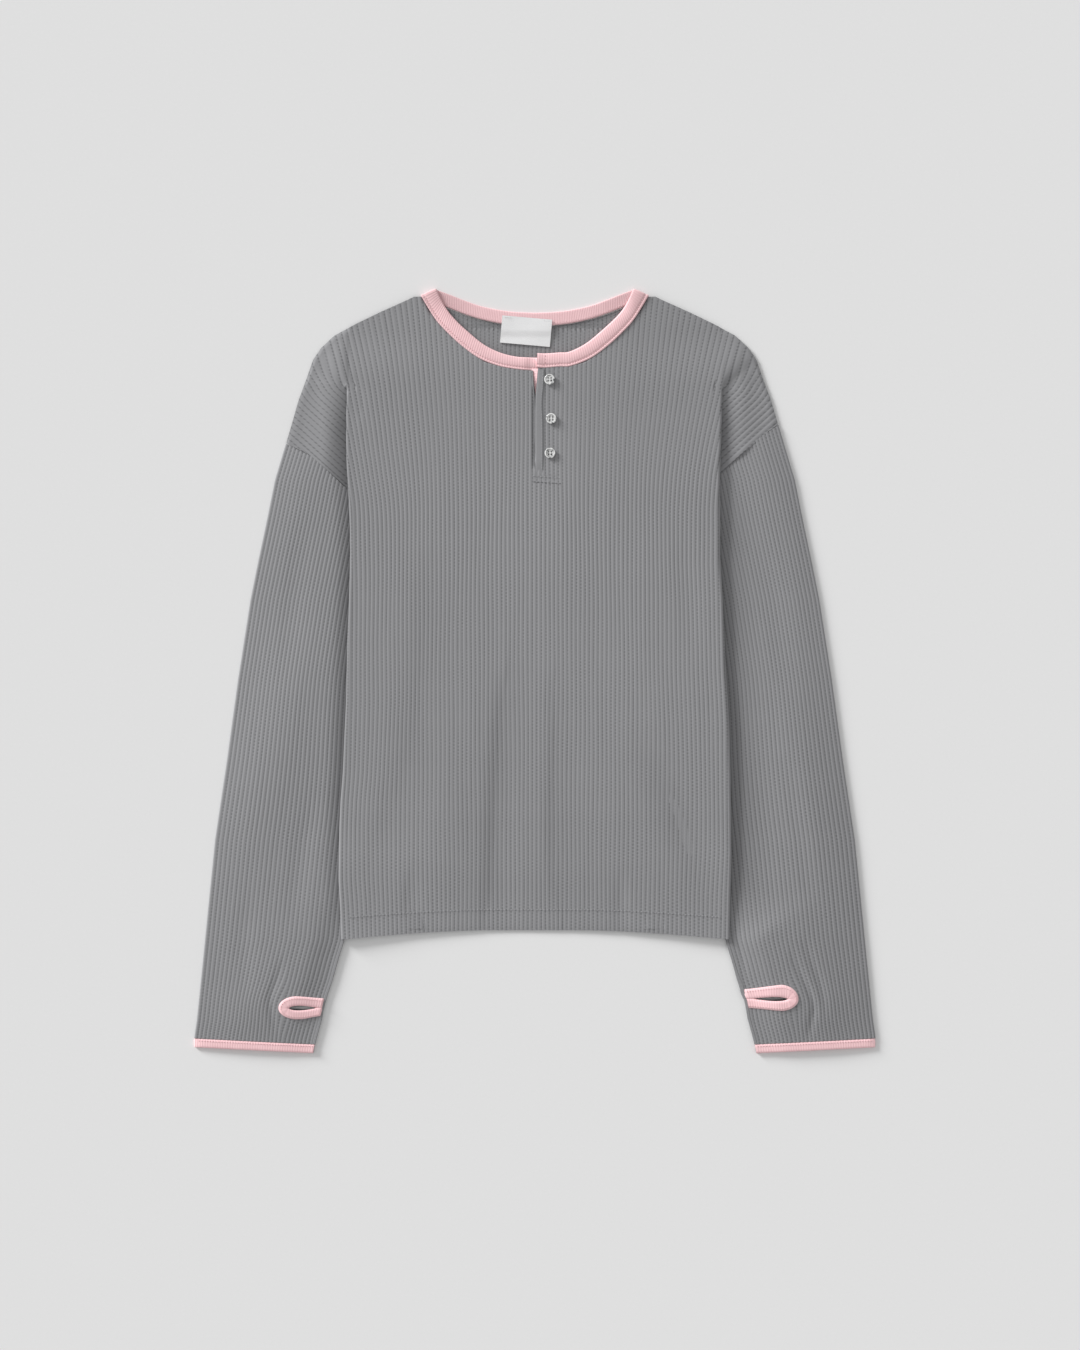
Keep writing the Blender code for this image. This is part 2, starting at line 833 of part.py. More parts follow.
def between(rows, count):
    """The rows of a table with more rows set in on a smooth curve through them."""
    made = []
    last = len(rows) - 1
    for n in range(last):
        p0, p1, p2, p3 = (rows[min(max(m, 0), last)] for m in range(n - 1, n + 3))
        for step in range(count):
            t = step / count
            made.append(tuple(
                0.5 * (2 * b + (c - a) * t + (2 * a - 5 * b + 4 * c - d) * t * t
                       + (3 * b - a - 3 * c + d) * t**3)
                for a, b, c, d in zip(p0, p1, p2, p3)))
    made.append(rows[-1])
    return made


def add_neck_binding(material, collection):
    """One folded strip: up the front, over the shoulder's tip and along the back."""
    half = []
    for edges in between(BINDING_FRONT, 2):
        half.append((edges, BINDING_FRONT_FLOOR, BINDING_FRONT_FLOOR + BINDING_THICK))
    tip = BINDING_FRONT[-1]
    dx, dy = TIP_DIRECTION
    middle_z = (BINDING_FRONT_FLOOR + BINDING_BACK_FLOOR + BINDING_THICK) / 2
    sections = [[binding_section(e, lo, hi, 1) for e, lo, hi in half]]
    fold = []
    for step in range(1, 4):
        a = math.pi * step / 4
        r_out = (BINDING_FRONT_FLOOR + BINDING_THICK - BINDING_BACK_FLOOR) / 2
        r_in = (BINDING_FRONT_FLOOR - BINDING_BACK_FLOOR - BINDING_THICK) / 2
        ring = []
        for share, height in BINDING_SHAPE:
            r = r_in + height * (r_out - r_in)
            x = tip[0] + share * (tip[2] - tip[0]) + dx * r * math.sin(a)
            y = tip[1] + share * (tip[3] - tip[1]) + dy * r * math.sin(a)
            ring.append((x, y, middle_z + r * math.cos(a)))
        fold.append(ring)
    back = []
    for edges in between(BINDING_BACK, 2):
        ring = binding_section(edges, BINDING_BACK_FLOOR, BINDING_BACK_FLOOR + BINDING_THICK, 1)
        back.append([ring[0], ring[4], ring[3], ring[2], ring[1]])
    right = sections[0] + fold + back
    left = [[(-x, y, z) for x, y, z in ring] for ring in right[:-1]]
    rings = left + right[::-1]
    points = [p for ring in rings for p in ring]
    size, faces = len(rings[0]), []
    for n in range(len(rings) - 1):
        for m in range(size):
            a, b = n * size + m, n * size + (m + 1) % size
            faces.append((a, b, b + size, a + size))
    faces.append(tuple(reversed(range(size))))
    faces.append(tuple(range((len(rings) - 1) * size, len(rings) * size)))
    piece = add_mesh("neck_binding", [tuple(v * MM for v in p) for p in points], faces,
                     material, collection)
    point_outwards(piece)
    return piece


def point_outwards(piece):
    """Turns a closed mesh's faces to point outwards."""
    bm = bmesh.new()
    bm.from_mesh(piece.data)
    bmesh.ops.recalc_face_normals(bm, faces=bm.faces)
    bm.to_mesh(piece.data)
    bm.free()


def add_button(name, x, y, material, collection):
    """A turned button with a raised rim, lying on the placket."""
    mesh = bpy.data.meshes.new(name)
    scale = BUTTON_DIAMETER / 2 / max(radius for radius, _ in BUTTON_PROFILE)
    points = [(radius * scale * MM, 0.0, height * MM) for radius, height in BUTTON_PROFILE]
    edges = [(n, n + 1) for n in range(len(points) - 1)]
    mesh.from_pydata(points, edges, [])
    mesh.materials.append(material)
    piece = bpy.data.objects.new(name, mesh)
    collection.objects.link(piece)
    turn = piece.modifiers.new("turn", "SCREW")
    turn.axis = "Z"
    turn.angle = math.tau
    turn.steps = turn.render_steps = 20
    turn.use_merge_vertices = True
    turn.merge_threshold = 1e-5
    height = max(top_of_front(x + dx, y) for dx in (-5, 0, 5)) + SEAM_GAP
    piece.location = (x * MM, y * MM, height * MM)
    return piece


def add_label(material, collection):
    """The blank neck label: sewn over the back binding and down onto the back."""
    wide, tall = LABEL_SIZE
    turn = math.radians(LABEL_TILT)
    over_binding = BINDING_BACK_FLOOR + BINDING_THICK + SEAM_GAP
    lows, highs = [], []
    for step in range(9):
        down = tall * (step / 8 - 0.5)
        low_row, high_row = [], []
        for n in range(5):
            across = wide * (n / 4 - 0.5)
            x = LABEL_CENTRE[0] + across * math.cos(turn) - down * math.sin(turn)
            y = LABEL_CENTRE[1] + across * math.sin(turn) + down * math.cos(turn)
            fall = smooth((NECK_BACK_Y - 2.5 - y) / 8)
            z = over_binding + (WALL + SEAM_GAP - over_binding) * fall
            low_row.append((n, x, y, z))
            high_row.append((n, x, y, z + LABEL_THICK))
        lows.append(low_row)
        highs.append(high_row)
    return solid_strip("neck_label", lows, highs, material, collection)


def add_thumbhole_binding(side, material, collection):
    """A flat pink U on the sleeve's top wall round the slit's outer end."""
    middle_y, slit_end, far_end = THUMBHOLE[side]
    name = "thumbhole_binding_" + ("left" if side < 0 else "right")
    gap = THUMBHOLE_HEIGHT / 2 + 0.2
    near = table(SLEEVE_INNER, middle_y) + 4.0
    path = []
    for step in range(5):
        path.append((near + (slit_end - near) * step / 4, gap, gap + THUMBHOLE_BAND))
    rings = []
    steps = 8
    for x, low, high in path:
        rings.append(((x, low), (x, high)))
    reach = far_end - slit_end
    for step in range(1, steps):
        a = math.pi / 2 - math.pi * step / steps
        inner = (slit_end + 0.4 + 0.6 * math.cos(a), gap * math.sin(a))
        outer = (slit_end + reach * math.cos(a), (gap + THUMBHOLE_BAND) * math.sin(a))
        rings.append((inner, outer))
    for x, low, high in reversed(path):
        rings.append(((x, -low), (x, -high)))
    lows, highs = [], []
    inner_x, outer_x = table(SLEEVE_INNER, middle_y), half_width(middle_y)
    for near_edge, far_edge in rings:
        low_row, high_row = [], []
        for n in range(3):
            share = n / 2
            x = near_edge[0] + share * (far_edge[0] - near_edge[0])
            y = middle_y + near_edge[1] + share * (far_edge[1] - near_edge[1])
            puff = sleeve_puff(x, y, inner_x + 1.3, outer_x - 1.3)
            z = SLEEVE_TOP + puff + WALL / 2 + RIB_HEIGHT + SEAM_GAP
            low_row.append((n, side * x, y, z))
            high_row.append((n, side * x, y, z + 1.1))
        lows.append(low_row)
        highs.append(high_row)
    piece = solid_strip(name, lows, highs, material, collection)
    point_outwards(piece)
    return piece


def add_material(name, colour, roughness):
    """A plain material for one of the record's slots."""
    material = bpy.data.materials.new(name)
    material.use_nodes = True
    shader = next(n for n in material.node_tree.nodes if n.type == "BSDF_PRINCIPLED")
    shader.inputs["Base Color"].default_value = (*colour, 1.0)
    shader.inputs["Roughness"].default_value = roughness
    shader.inputs["Metallic"].default_value = 0.0
    material.diffuse_color = (*colour, 1.0)
    return material


def main():
    """Clears the scene and builds every piece of the shirt."""
    for thing in list(bpy.data.objects):
        bpy.data.objects.remove(thing, do_unlink=True)
    collection = bpy.data.collections.new("henley")
    bpy.context.scene.collection.children.link(collection)
    knit = add_material("rib_knit", GREY, 0.9)
    jersey = add_material("placket_jersey", GREY, 0.9)
    binding = add_material("pink_binding", PINK, 0.85)
    resin = add_material("pearl_resin", PEARL, 0.3)
    satin = add_material("label_satin", WHITE, 0.6)

    wall("front", front_skin(True), front_skin(False), knit, collection)
    wall("back", back_skin(True), back_skin(False), knit, collection)
    for side, word in ((-1, "left"), (1, "right")):
        wall("sleeve_" + word, sleeve_skin(side, True), sleeve_skin(side, False), knit, collection)
        wall("cuff_binding_" + word, cuff_skin(side, True), cuff_skin(side, False), binding,
             collection)
        add_thumbhole_binding(side, binding, collection)
    add_neck_binding(binding, collection)
    add_band(jersey, collection)
    add_underlap(binding, collection)
    for name, x, y in BUTTONS:
        add_button(name, x, y, resin, collection)
    add_label(satin, collection)


main()
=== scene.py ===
"""The looks of a rib-knit henley that lies flat: knit, bindings, stitches, buttons, light.

Every shape is worked out in millimetres from the shirt's cut, on the same folds as the
solids in the frame, and turned into metres when its mesh is made.
"""

import logging
import math
from dataclasses import dataclass
from enum import Enum
from typing import Any, Callable, Optional, Sequence, Union

import bmesh
import bpy
import numpy as np
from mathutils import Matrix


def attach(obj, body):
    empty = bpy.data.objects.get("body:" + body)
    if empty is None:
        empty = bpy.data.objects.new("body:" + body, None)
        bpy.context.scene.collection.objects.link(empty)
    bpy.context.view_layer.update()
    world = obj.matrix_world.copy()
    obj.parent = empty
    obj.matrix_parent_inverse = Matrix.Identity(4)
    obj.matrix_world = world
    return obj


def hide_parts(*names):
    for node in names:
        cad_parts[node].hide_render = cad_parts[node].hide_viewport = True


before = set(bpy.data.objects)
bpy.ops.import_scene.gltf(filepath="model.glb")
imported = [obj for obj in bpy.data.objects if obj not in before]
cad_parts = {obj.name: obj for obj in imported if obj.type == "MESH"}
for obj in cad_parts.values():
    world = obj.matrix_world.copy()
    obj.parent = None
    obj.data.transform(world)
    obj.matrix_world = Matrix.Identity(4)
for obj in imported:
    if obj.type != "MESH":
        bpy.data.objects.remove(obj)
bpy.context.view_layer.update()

LOG = logging.getLogger("henley")
MM = 0.001
TINY = 1e-7
Array = np.ndarray
Real = Union[float, Array]


def smooth(value: Real) -> Array:
    """An even rise from 0 to 1 while the value goes from 0 to 1."""
    value = np.clip(value, 0.0, 1.0)
    return value * value * (3 - 2 * value)


def rise(value: Real, start: Real, over: float) -> Array:
    """0 up to a start, and then an even rise to 1 over a length."""
    return smooth((value - start) / over)


def fall(value: Real, end: Real, over: float) -> Array:
    """An even fall from 1 over a length, that reaches 0 at its end."""
    return smooth((end - value) / over)


def at(*parts: Real) -> Array:
    """Points from their coordinates, each spread to the others' shape."""
    return np.stack(np.broadcast_arrays(*parts), axis=-1)


def lengths(points: Array) -> Array:
    """How far along a line each of its points is."""
    steps = np.linalg.norm(np.diff(points, axis=0), axis=1)
    return np.concatenate([[0], np.cumsum(steps)])


def bell(value: Real, middle: float, width: Real) -> Array:
    """A soft hump: 1 at its middle, falling evenly to 0 on both sides."""
    return np.exp(-(((value - middle) / width) ** 2))


class Side(Enum):
    """The two sides of the shirt, as signs of X."""

    LEFT = -1
    RIGHT = 1

    @property
    def word(self) -> str:
        """The side's name as nodes use it."""
        return self.name.lower()

    @property
    def bake_x(self) -> float:
        """Where the side's half of a baked texture starts."""
        return 0.0 if self is Side.LEFT else 0.5

    def turn(self, points: Array) -> Array:
        """Points of the right side, moved to this side."""
        return points * np.array([self.value, 1, 1])


# ---------------------------------------------------------------- the shirt's cut


@dataclass(frozen=True)
class Table:
    """A short table of sizes, read as a curve along one of its columns."""

    rows: tuple[tuple[float, ...], ...]

    def __call__(self, places: Real, column: int = 1, along: int = 0) -> Array:
        """The value of a column at places along another.

        Args:
            places: Places along the column that is looked along.
            column: Which column is read.
            along: Which column is looked along.

        Returns:
            The values, with straight runs between the rows.
        """
        rows = np.array(sorted(self.rows))
        return np.interp(places, rows[:, along], rows[:, column])


@dataclass(frozen=True)
class Cut:
    """The laid shirt's sizes, the same as the solids' own."""

    wall: float = 1.1
    rib: float = 4.0
    hem_y: float = -237.8
    corner_drop: float = 8.4
    armpit_y: float = 139.4
    slit_base_y: float = 185.4
    apex_y: float = 263.6
    neck_y: float = 276.5
    cuff_y: float = -351.0
    cuff_seam_y: float = -342.6
    cuff_x: float = 202.0
    cuff_width: float = 110.0
    cuff_slant: float = 5.5
    half_width: float = 172.0
    fan_y: float = 144.0
    fan_height: float = 151.8
    fan_width: float = 118.7
    fan_spread: float = 14.7
    neck_base_y: float = 316.9
    outline: Table = Table((
        # y, half_width
        (-345.5, 313.3), (-302.2, 308.7), (-228.6, 301.3), (-155.0, 293.9),
        (-81.4, 282.9), (-7.8, 272.8), (65.8, 261.3), (102.6, 253.9), (139.4, 246.1),
        (176.2, 238.7), (213.0, 227.7), (249.8, 217.1), (268.2, 210.2), (286.6, 203.8),
        (297.6, 196.4), (308.7, 184.5), (319.7, 164.2), (330.7, 141.2), (341.8, 116.4),
        (346.0, 108.0),
    ))
    side_fold: Table = Table((
        # y, edge, turned_under
        (-248.0, 178.0, 64.4), (-190.0, 178.5, 63.5), (-26.0, 175.7, 61.0),
        (110.0, 172.0, 59.5), (139.4, 172.3, 58.0), (185.4, 172.5, 44.0),
        (213.0, 172.5, 30.0), (245.2, 172.5, 11.0), (254.4, 172.5, 4.0),
        (263.6, 172.5, 0.0),
    ))
    sleeve_inner: Table = Table((
        # y, x
        (-351.0, 204.7), (-339.0, 202.4), (-320.6, 197.3), (-302.2, 193.7),
        (-283.8, 187.3), (-265.4, 182.2), (-247.0, 176.5), (139.4, 114.3),
    ))
    armhole: Table = Table((
        # y, left_x, right_x
        (139.4, 114.3, 114.3), (153.2, 147.0, 138.0), (169.9, 174.3, 157.0),
        (185.4, 191.0, 174.5), (197.0, 203.0, 184.6), (209.7, 228.7, 197.7),
        (226.8, 223.9, 223.9),
    ))
    neck_front: Table = Table((
        # y, x
        (276.5, 2.6), (280.1, 32.0), (284.7, 46.7), (294.9, 61.5), (306.8, 76.2),
        (322.5, 90.9), (331.7, 98.3), (344.5, 104.7),
    ))
    neck_back: Table = Table((
        # y, x
        (316.9, 0.0), (318.0, 24.0), (321.3, 44.0), (326.3, 61.5), (333.3, 80.0),
        (343.6, 105.5),
    ))

    def armhole_x(self, side: Side, y: Array) -> Array:
        """The panels' outer edge above the armpit."""
        seam = self.armhole(y, 1 if side is Side.LEFT else 2)
        return np.minimum(seam, self.outline(y))

    def neck_x(self, y: Array) -> Array:
        """The front's inner edge: the placket's slit and then the neckline."""
        slit = np.where(y > self.slit_base_y, 0.3 + 2.3 * rise(y, 260, 16), 0.0)
        return np.where(y <= self.neck_y, slit, self.neck_front(y))

    def outward(self, x: Array) -> Array:
        """0 at the middle of the shirt, curving up to 1 at its sides."""
        return np.clip(np.abs(x) / self.half_width, 0, 1) ** 1.5

    def folded(self, y: Array) -> Array:
        """Where up the shirt its sides are turned under."""
        return y < self.apex_y - 1e-6

    def cuff_rise(self, x: Array) -> Array:
        """How far up a sleeve's slanting end is, across it."""
        return self.cuff_slant * (x - self.cuff_x) / self.cuff_width

    def rib_x(self, order: Array, y: Array) -> Array:
        """Where a rib line runs: straight from the hem, then fanned over the chest."""
        climb = np.maximum(0.0, y - self.fan_y) / self.fan_height
        sway = 0.35 * np.sin(y / 61 + order / 37) + 0.25 * np.sin(y / 23 + order / 11)
        fan = self.fan_spread * (order / self.fan_width) ** 2 * climb**1.6
        return order + fan + sway * smooth(order / 12)


CUT = Cut()

FOLD_SWAY = {
    # y, how far out the soft fold wanders from the cut's even line
    Side.LEFT: Table((
        (-240.0, -0.2), (-210.0, 0.6), (-187.0, 1.9), (-141.0, 1.8), (-118.0, 1.1),
        (-95.0, -0.5), (-49.0, -1.9), (-26.0, -2.6), (30.0, -2.2), (88.8, -2.8),
        (134.8, -2.6), (157.8, -1.8), (180.8, -0.3), (203.8, 0.6), (240.0, 0.5), (262.0, 0.0),
    )),
    Side.RIGHT: Table((
        (-240.0, 0.9), (-200.0, 1.2), (-164.0, 2.6), (-95.0, 2.8), (-49.0, 2.4), (-26.0, 1.5),
        (0.0, 0.3), (42.0, -0.2), (65.8, -0.6), (100.0, -2.0), (180.8, -2.4), (203.8, -1.6),
        (226.8, -0.7), (250.0, 0.0),
    )),
}


@dataclass(frozen=True)
class Stack:
    """The heights of the layers at a body side."""

    cap: float = 2.05
    inner: float = 0.85
    outer: float = 1.85
    apex_outer: float = 0.75
    hem_sag: float = 1.5
    hem_length: float = 66.0

    def fold_radius(self, y: Array) -> Array:
        """The radius of the visible fold, which grows from its apex and eases at the hem."""
        grow = fall(y, CUT.apex_y, 110) - 0.55 * fall(y, CUT.hem_y + 70, self.hem_length)
        return self.apex_outer + (self.outer - self.apex_outer) * grow

    def under(self, y: Array) -> Array:
        """The height of the layer that is turned under, which sags at the hem."""
        return self.cap + 2 * self.inner - self.hem_sag * fall(y, CUT.hem_y + 72, self.hem_length)

    def top(self, y: Array) -> Array:
        """The height of the upper wall at the fold."""
        folded = self.under(y) + 2 * self.fold_radius(y)
        apex = self.cap + 2 * self.inner + 2 * self.apex_outer
        eased = self.cap + (apex - self.cap) * (1 - rise(y, CUT.apex_y, 50))
        return np.where(y < CUT.apex_y, folded, eased)

    def edge(self, y: Array) -> Array:
        """Where the upper wall starts to turn under."""
        return CUT.side_fold(y) - self.fold_radius(y) - CUT.wall / 2

    def nose(self, y: Array) -> Array:
        """How far in the turned-under layer reaches."""
        return self.edge(y) - CUT.side_fold(y, 2)


STACK = Stack()


class ShoulderFan:
    """The ribs' lie outside the fold, where the pleat turns them about its apex."""

    apex_x = 172.5
    turn = math.radians(40.0)
    start, sweep = math.radians(85.0), math.radians(125.0)

    def __init__(self) -> None:
        """Tabulates where each rib line runs."""
        self.y = np.arange(138.0, 347.0, 1.0)
        self.order = np.arange(60.0, 360.0, 0.5)
        x = np.arange(140.0, 262.0, 0.5)
        every = np.arange(100.0, 262.0, 0.5)
        rows = []
        for y in self.y:
            base = np.interp(x, CUT.rib_x(every, max(y, CUT.apex_y)), every)
            dx, dy = x - self.apex_x, y - CUT.apex_y
            angle = np.arctan2(dy, dx)
            turned = self.turn * smooth((self.start - angle) / self.sweep)
            lines = base + np.hypot(dx, dy) * np.cos(angle + turned) - dx
            rows.append(np.interp(self.order, lines, x))
        self.x = np.array(rows)

    def __call__(self, order: Array, y: Array) -> Array:
        """Where a rib line runs outside the fold."""
        row = np.clip((y - self.y[0]), 0, len(self.y) - 1.001)
        column = np.clip((order - self.order[0]) * 2, 0, len(self.order) - 1.001)
        r, c = row.astype(int), column.astype(int)
        fr, fc = row - r, column - c
        low = self.x[r, c] * (1 - fc) + self.x[r, c + 1] * fc
        high = self.x[r + 1, c] * (1 - fc) + self.x[r + 1, c + 1] * fc
        return low * (1 - fr) + high * fr


FAN = ShoulderFan()


@dataclass(frozen=True)
class Crease:
    """A soft trough along a few points, deeper towards its middle."""

    points: tuple[tuple[float, float], ...]
    width: float
    depth: float
    lean: float = 1.0

    def __call__(self, x: Array, y: Array) -> Array:
        """How deep the trough is at places on the cloth; a leaning one eases to its right.

        Args:
            x: Places across the shirt.
            y: Places up the shirt.

        Returns:
            Depths in millimetres, 0 away from the crease.
        """
        points = np.array(self.points)
        best, along = np.full(np.shape(x), 1e9), np.zeros(np.shape(x))
        width = np.full(np.shape(x), self.width)
        runs = np.hypot(*np.diff(points, axis=0).T)
        total, done = runs.sum(), 0.0
        for (ax, ay), (bx, by), length in zip(points, points[1:], runs):
            t = ((x - ax) * (bx - ax) + (y - ay) * (by - ay)) / length**2
            t = np.clip(t, 0, 1)
            away = np.hypot(x - ax - t * (bx - ax), y - ay - t * (by - ay))
            nearer = away < best
            best = np.where(nearer, away, best)
            along = np.where(nearer, (done + t * length) / total, along)
            beyond = x > ax + t * (bx - ax)
            width = np.where(nearer, self.width * np.where(beyond, self.lean, 1.0), width)
            done += length
        swell = 0.35 + 0.65 * np.sin(np.pi * np.clip(along, 0, 1)) ** 0.7
        return self.depth * swell * bell(best, 0, width)


@dataclass(frozen=True)
class Drape:
    """The lie of the front: a gentle lift low down, with troughs in it."""

    lift: float = 4.0
    lowest: float = -0.25
    # painted shade for each millimetre of a trough's depth
    shade_a_mm: float = 0.065
    creases: tuple[Crease, ...] = (
        Crease(((-97, 89), (-102, 0), (-112, -75), (-130, -140), (-152, -190)), 15, 0.6, 1.8),
        Crease(((-26, -15), (-30, -50), (-33, -100), (-37, -170), (-40, -240)), 9.0, 1.3, 3.0),
        Crease(((19, -12), (20, -60), (18, -120), (19, -180), (25, -219)), 7.5, 0.7, 3.0),
        Crease(((-112, -185), (-115, -205), (-116, -228)), 6, 0.5, 1.6),
        Crease(((106, -81), (129, -127), (157, -196)), 15, 0.95),
        Crease(((78, -190), (81, -240)), 7, 0.6),
        Crease(((138, 110), (142, 60), (143, 20)), 11, 0.4),
        Crease(((-165, 264), (-163, 236)), 6, 0.8),
        Crease(((-208, 272), (-206, 231), (-203, 196)), 7, 1.0),
        Crease(((206, 262), (203, 232), (200, 214)), 8, 0.7),
    )

    def __call__(self, x: Array, y: Array) -> Array:
        """The height that the lie adds to the front's upper wall."""
        low = fall(y, 240, 170) * (1 - CUT.outward(x))
        wave = 0.22 * np.sin(x / 29 + y / 160) + 0.14 * np.sin(x / 17 - y / 210 + 1.0)
        flat_hem = smooth((y - CUT.hem_y + 2) / 110)
        lift = (self.lift + wave) * low * flat_hem
        for crease in self.creases:
            lift = lift - crease(x, y)
        return np.maximum(lift, self.lowest)

    def painted_shading(self, x: Array, y: Array) -> Array:
        """The painted shade along the troughs, and the painted light that makes the waist and hem
        paler.
        """
        troughs = sum(crease(x, y) for crease in self.creases[:5])
        waist = bell(y, 20, 120) * (1 - rise(x, 90, 30))
        hem = (0.05 - 0.03 * rise(x, 10, 40)) * fall(y, -135, 40)
        # painted shade in the creases' troughs; painted light at the waist and low down towards the
        # hem
        return self.shade_a_mm * troughs - 0.02 * waist - hem


DRAPE = Drape()


def rib_profile(order: Array, depth: Real) -> Array:
    """The height of rounded ribs with narrow grooves between them."""
    wave = np.cos(np.pi * order / CUT.rib) ** 2
    return depth * wave**0.42


# ---------------------------------------------------------------- meshes


class ClothMesh:
    """Gathers grids of points into one smooth cloth mesh with its cloth coordinates."""

    def __init__(self, name: str) -> None:
        """Starts an empty mesh that will be called name."""
        self.name = name
        self.points: list[Array] = []
        self.quads: list[Array] = []
        # Dim carries painted shade for each point; below 0 it is painted light
        self.layers: dict[str, list[Array]] = {"OFBake": [], "Cloth": [], "Dim": []}
        self.count = 0

    def grid(
        self,
        points: Array,
        cloth: Array,
        tile: tuple[float, float, float, float] = (0.0, 0.0, 1.0, 1.0),
        keep: Optional[Array] = None,
        flip: bool = False,
        dim: Real = 0.0,
    ) -> None:
        """Adds a grid of quads.

        Args:
            points: Rows by columns by 3, in millimetres.
            cloth: Rows by columns by 2, the cloth's own coordinates in millimetres.
            tile: The corner and size of the grid's place in the baked texture.
            keep: Which quads are kept, or None for all.
            flip: Whether the quads face the other way.
            dim: Painted shade that makes the colour darker; below 0 it is painted light that makes it
                paler.
        """
        rows, columns = points.shape[:2]
        index = np.arange(rows * columns).reshape(rows, columns) + self.count
        quads = np.stack(
            [index[:-1, :-1], index[:-1, 1:], index[1:, 1:], index[1:, :-1]], axis=-1
        )
        quads = quads[keep] if keep is not None else quads.reshape(-1, 4)
        self.quads.append(quads[:, ::-1] if flip else quads)
        self.points.append(points.reshape(-1, 3))
        across, up = np.meshgrid(np.linspace(0, 1, columns), np.linspace(0, 1, rows))
        bake = at(tile[0] + across * tile[2], tile[1] + up * tile[3])
        painted_shades = at(np.broadcast_to(dim, (rows, columns)), 0.0)
        for layer, values in zip(self.layers.values(), (bake, cloth * MM, painted_shades)):
            layer.append(values.reshape(-1, 2))
        self.count += rows * columns

    def build(self, finish: "Finish", edge: float = 0.0, weld: float = 0.02) -> bpy.types.Object:
        """Makes the object.

        Args:
            finish: The finish that dresses it.
            edge: The thickness that its open edges show, or 0 for none.
            weld: How near points are joined, in millimetres.

        Returns:
            The new object, riding on the shirt's body.
        """
        points = np.concatenate(self.points) * MM
        quads = np.concatenate(self.quads)
        mesh = bpy.data.meshes.new(self.name)
        mesh.from_pydata(points.tolist(), [], quads.tolist())
        for layer, values in self.layers.items():
            uv = mesh.uv_layers.new(name=layer)
            uv.data.foreach_set("uv", np.concatenate(values)[quads.ravel()].ravel())
        work = bmesh.new()
        work.from_mesh(mesh)
        bmesh.ops.remove_doubles(work, verts=work.verts, dist=weld * MM)
        bmesh.ops.dissolve_degenerate(work, edges=work.edges, dist=TINY)
        loose = [vert for vert in work.verts if not vert.link_faces]
        bmesh.ops.delete(work, geom=loose, context="VERTS")
        for line in work.edges:
            line.smooth = not line.is_boundary
        work.to_mesh(mesh)
        work.free()
        mesh.shade_smooth()
        piece = bpy.data.objects.new(self.name, mesh)
        bpy.context.collection.objects.link(piece)
        if edge:
            rim = piece.modifiers.new("edge", "SOLIDIFY")
            rim.thickness = edge * MM
            rim.offset = -1.0
            rim.use_rim_only = True
        finish.dress(piece)
        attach(piece, "root")
        return piece


# ---------------------------------------------------------------- shader expressions

Value = Union["Expr", float, int]
Colour = tuple[float, float, float]


def operator(kind: str, flipped: bool = False) -> Callable[["Expr", Value], "Expr"]:
    """Makes one of Python's operators add a Math node.

    Args:
        kind: The Math node's operation.
        flipped: Whether the other value comes first.

    Returns:
        The operator, as a method of an expression.
    """

    def apply(self: "Expr", other: Value) -> "Expr":
        """Adds the node."""
        return self.math(kind, *((other, self) if flipped else (self, other)))

    return apply


class Expr:
    """A shader socket that takes Python's arithmetic."""

    __add__, __radd__ = operator("ADD"), operator("ADD", True)
    __sub__, __rsub__ = operator("SUBTRACT"), operator("SUBTRACT", True)
    __mul__, __rmul__ = operator("MULTIPLY"), operator("MULTIPLY", True)
    __truediv__, __pow__ = operator("DIVIDE"), operator("POWER")

    def __init__(self, graph: "Graph", socket: bpy.types.NodeSocket) -> None:
        """Wraps a socket of a graph's node."""
        self.graph = graph
        self.socket = socket

    def math(self, operation: str, *values: Value) -> "Expr":
        """Adds a Math node."""
        return self.graph.node("ShaderNodeMath", {"operation": operation}, dict(enumerate(values)))

    def __abs__(self) -> "Expr":
        """The size of self."""
        return self.math("ABSOLUTE", self)

    def wave(self, pitch: float, shift: Value = 0.0) -> "Expr":
        """An even wave from 0 to 1 along self, moved on by a shift in radians."""
        turn = self * (2 * math.pi / pitch) + shift
        return self.math("SINE", turn) * 0.5 + 0.5

    def fract(self) -> "Expr":
        """What is past the whole number."""
        return self.math("FRACT", self)

    def above(self, limit: float) -> "Expr":
        """1 where self is above a limit, and 0 elsewhere."""
        return self.math("GREATER_THAN", self, limit)

    def clamp(self) -> "Expr":
        """Self kept between 0 and 1."""
        return self.math("MINIMUM", self.math("MAXIMUM", self, 0.0), 1.0)


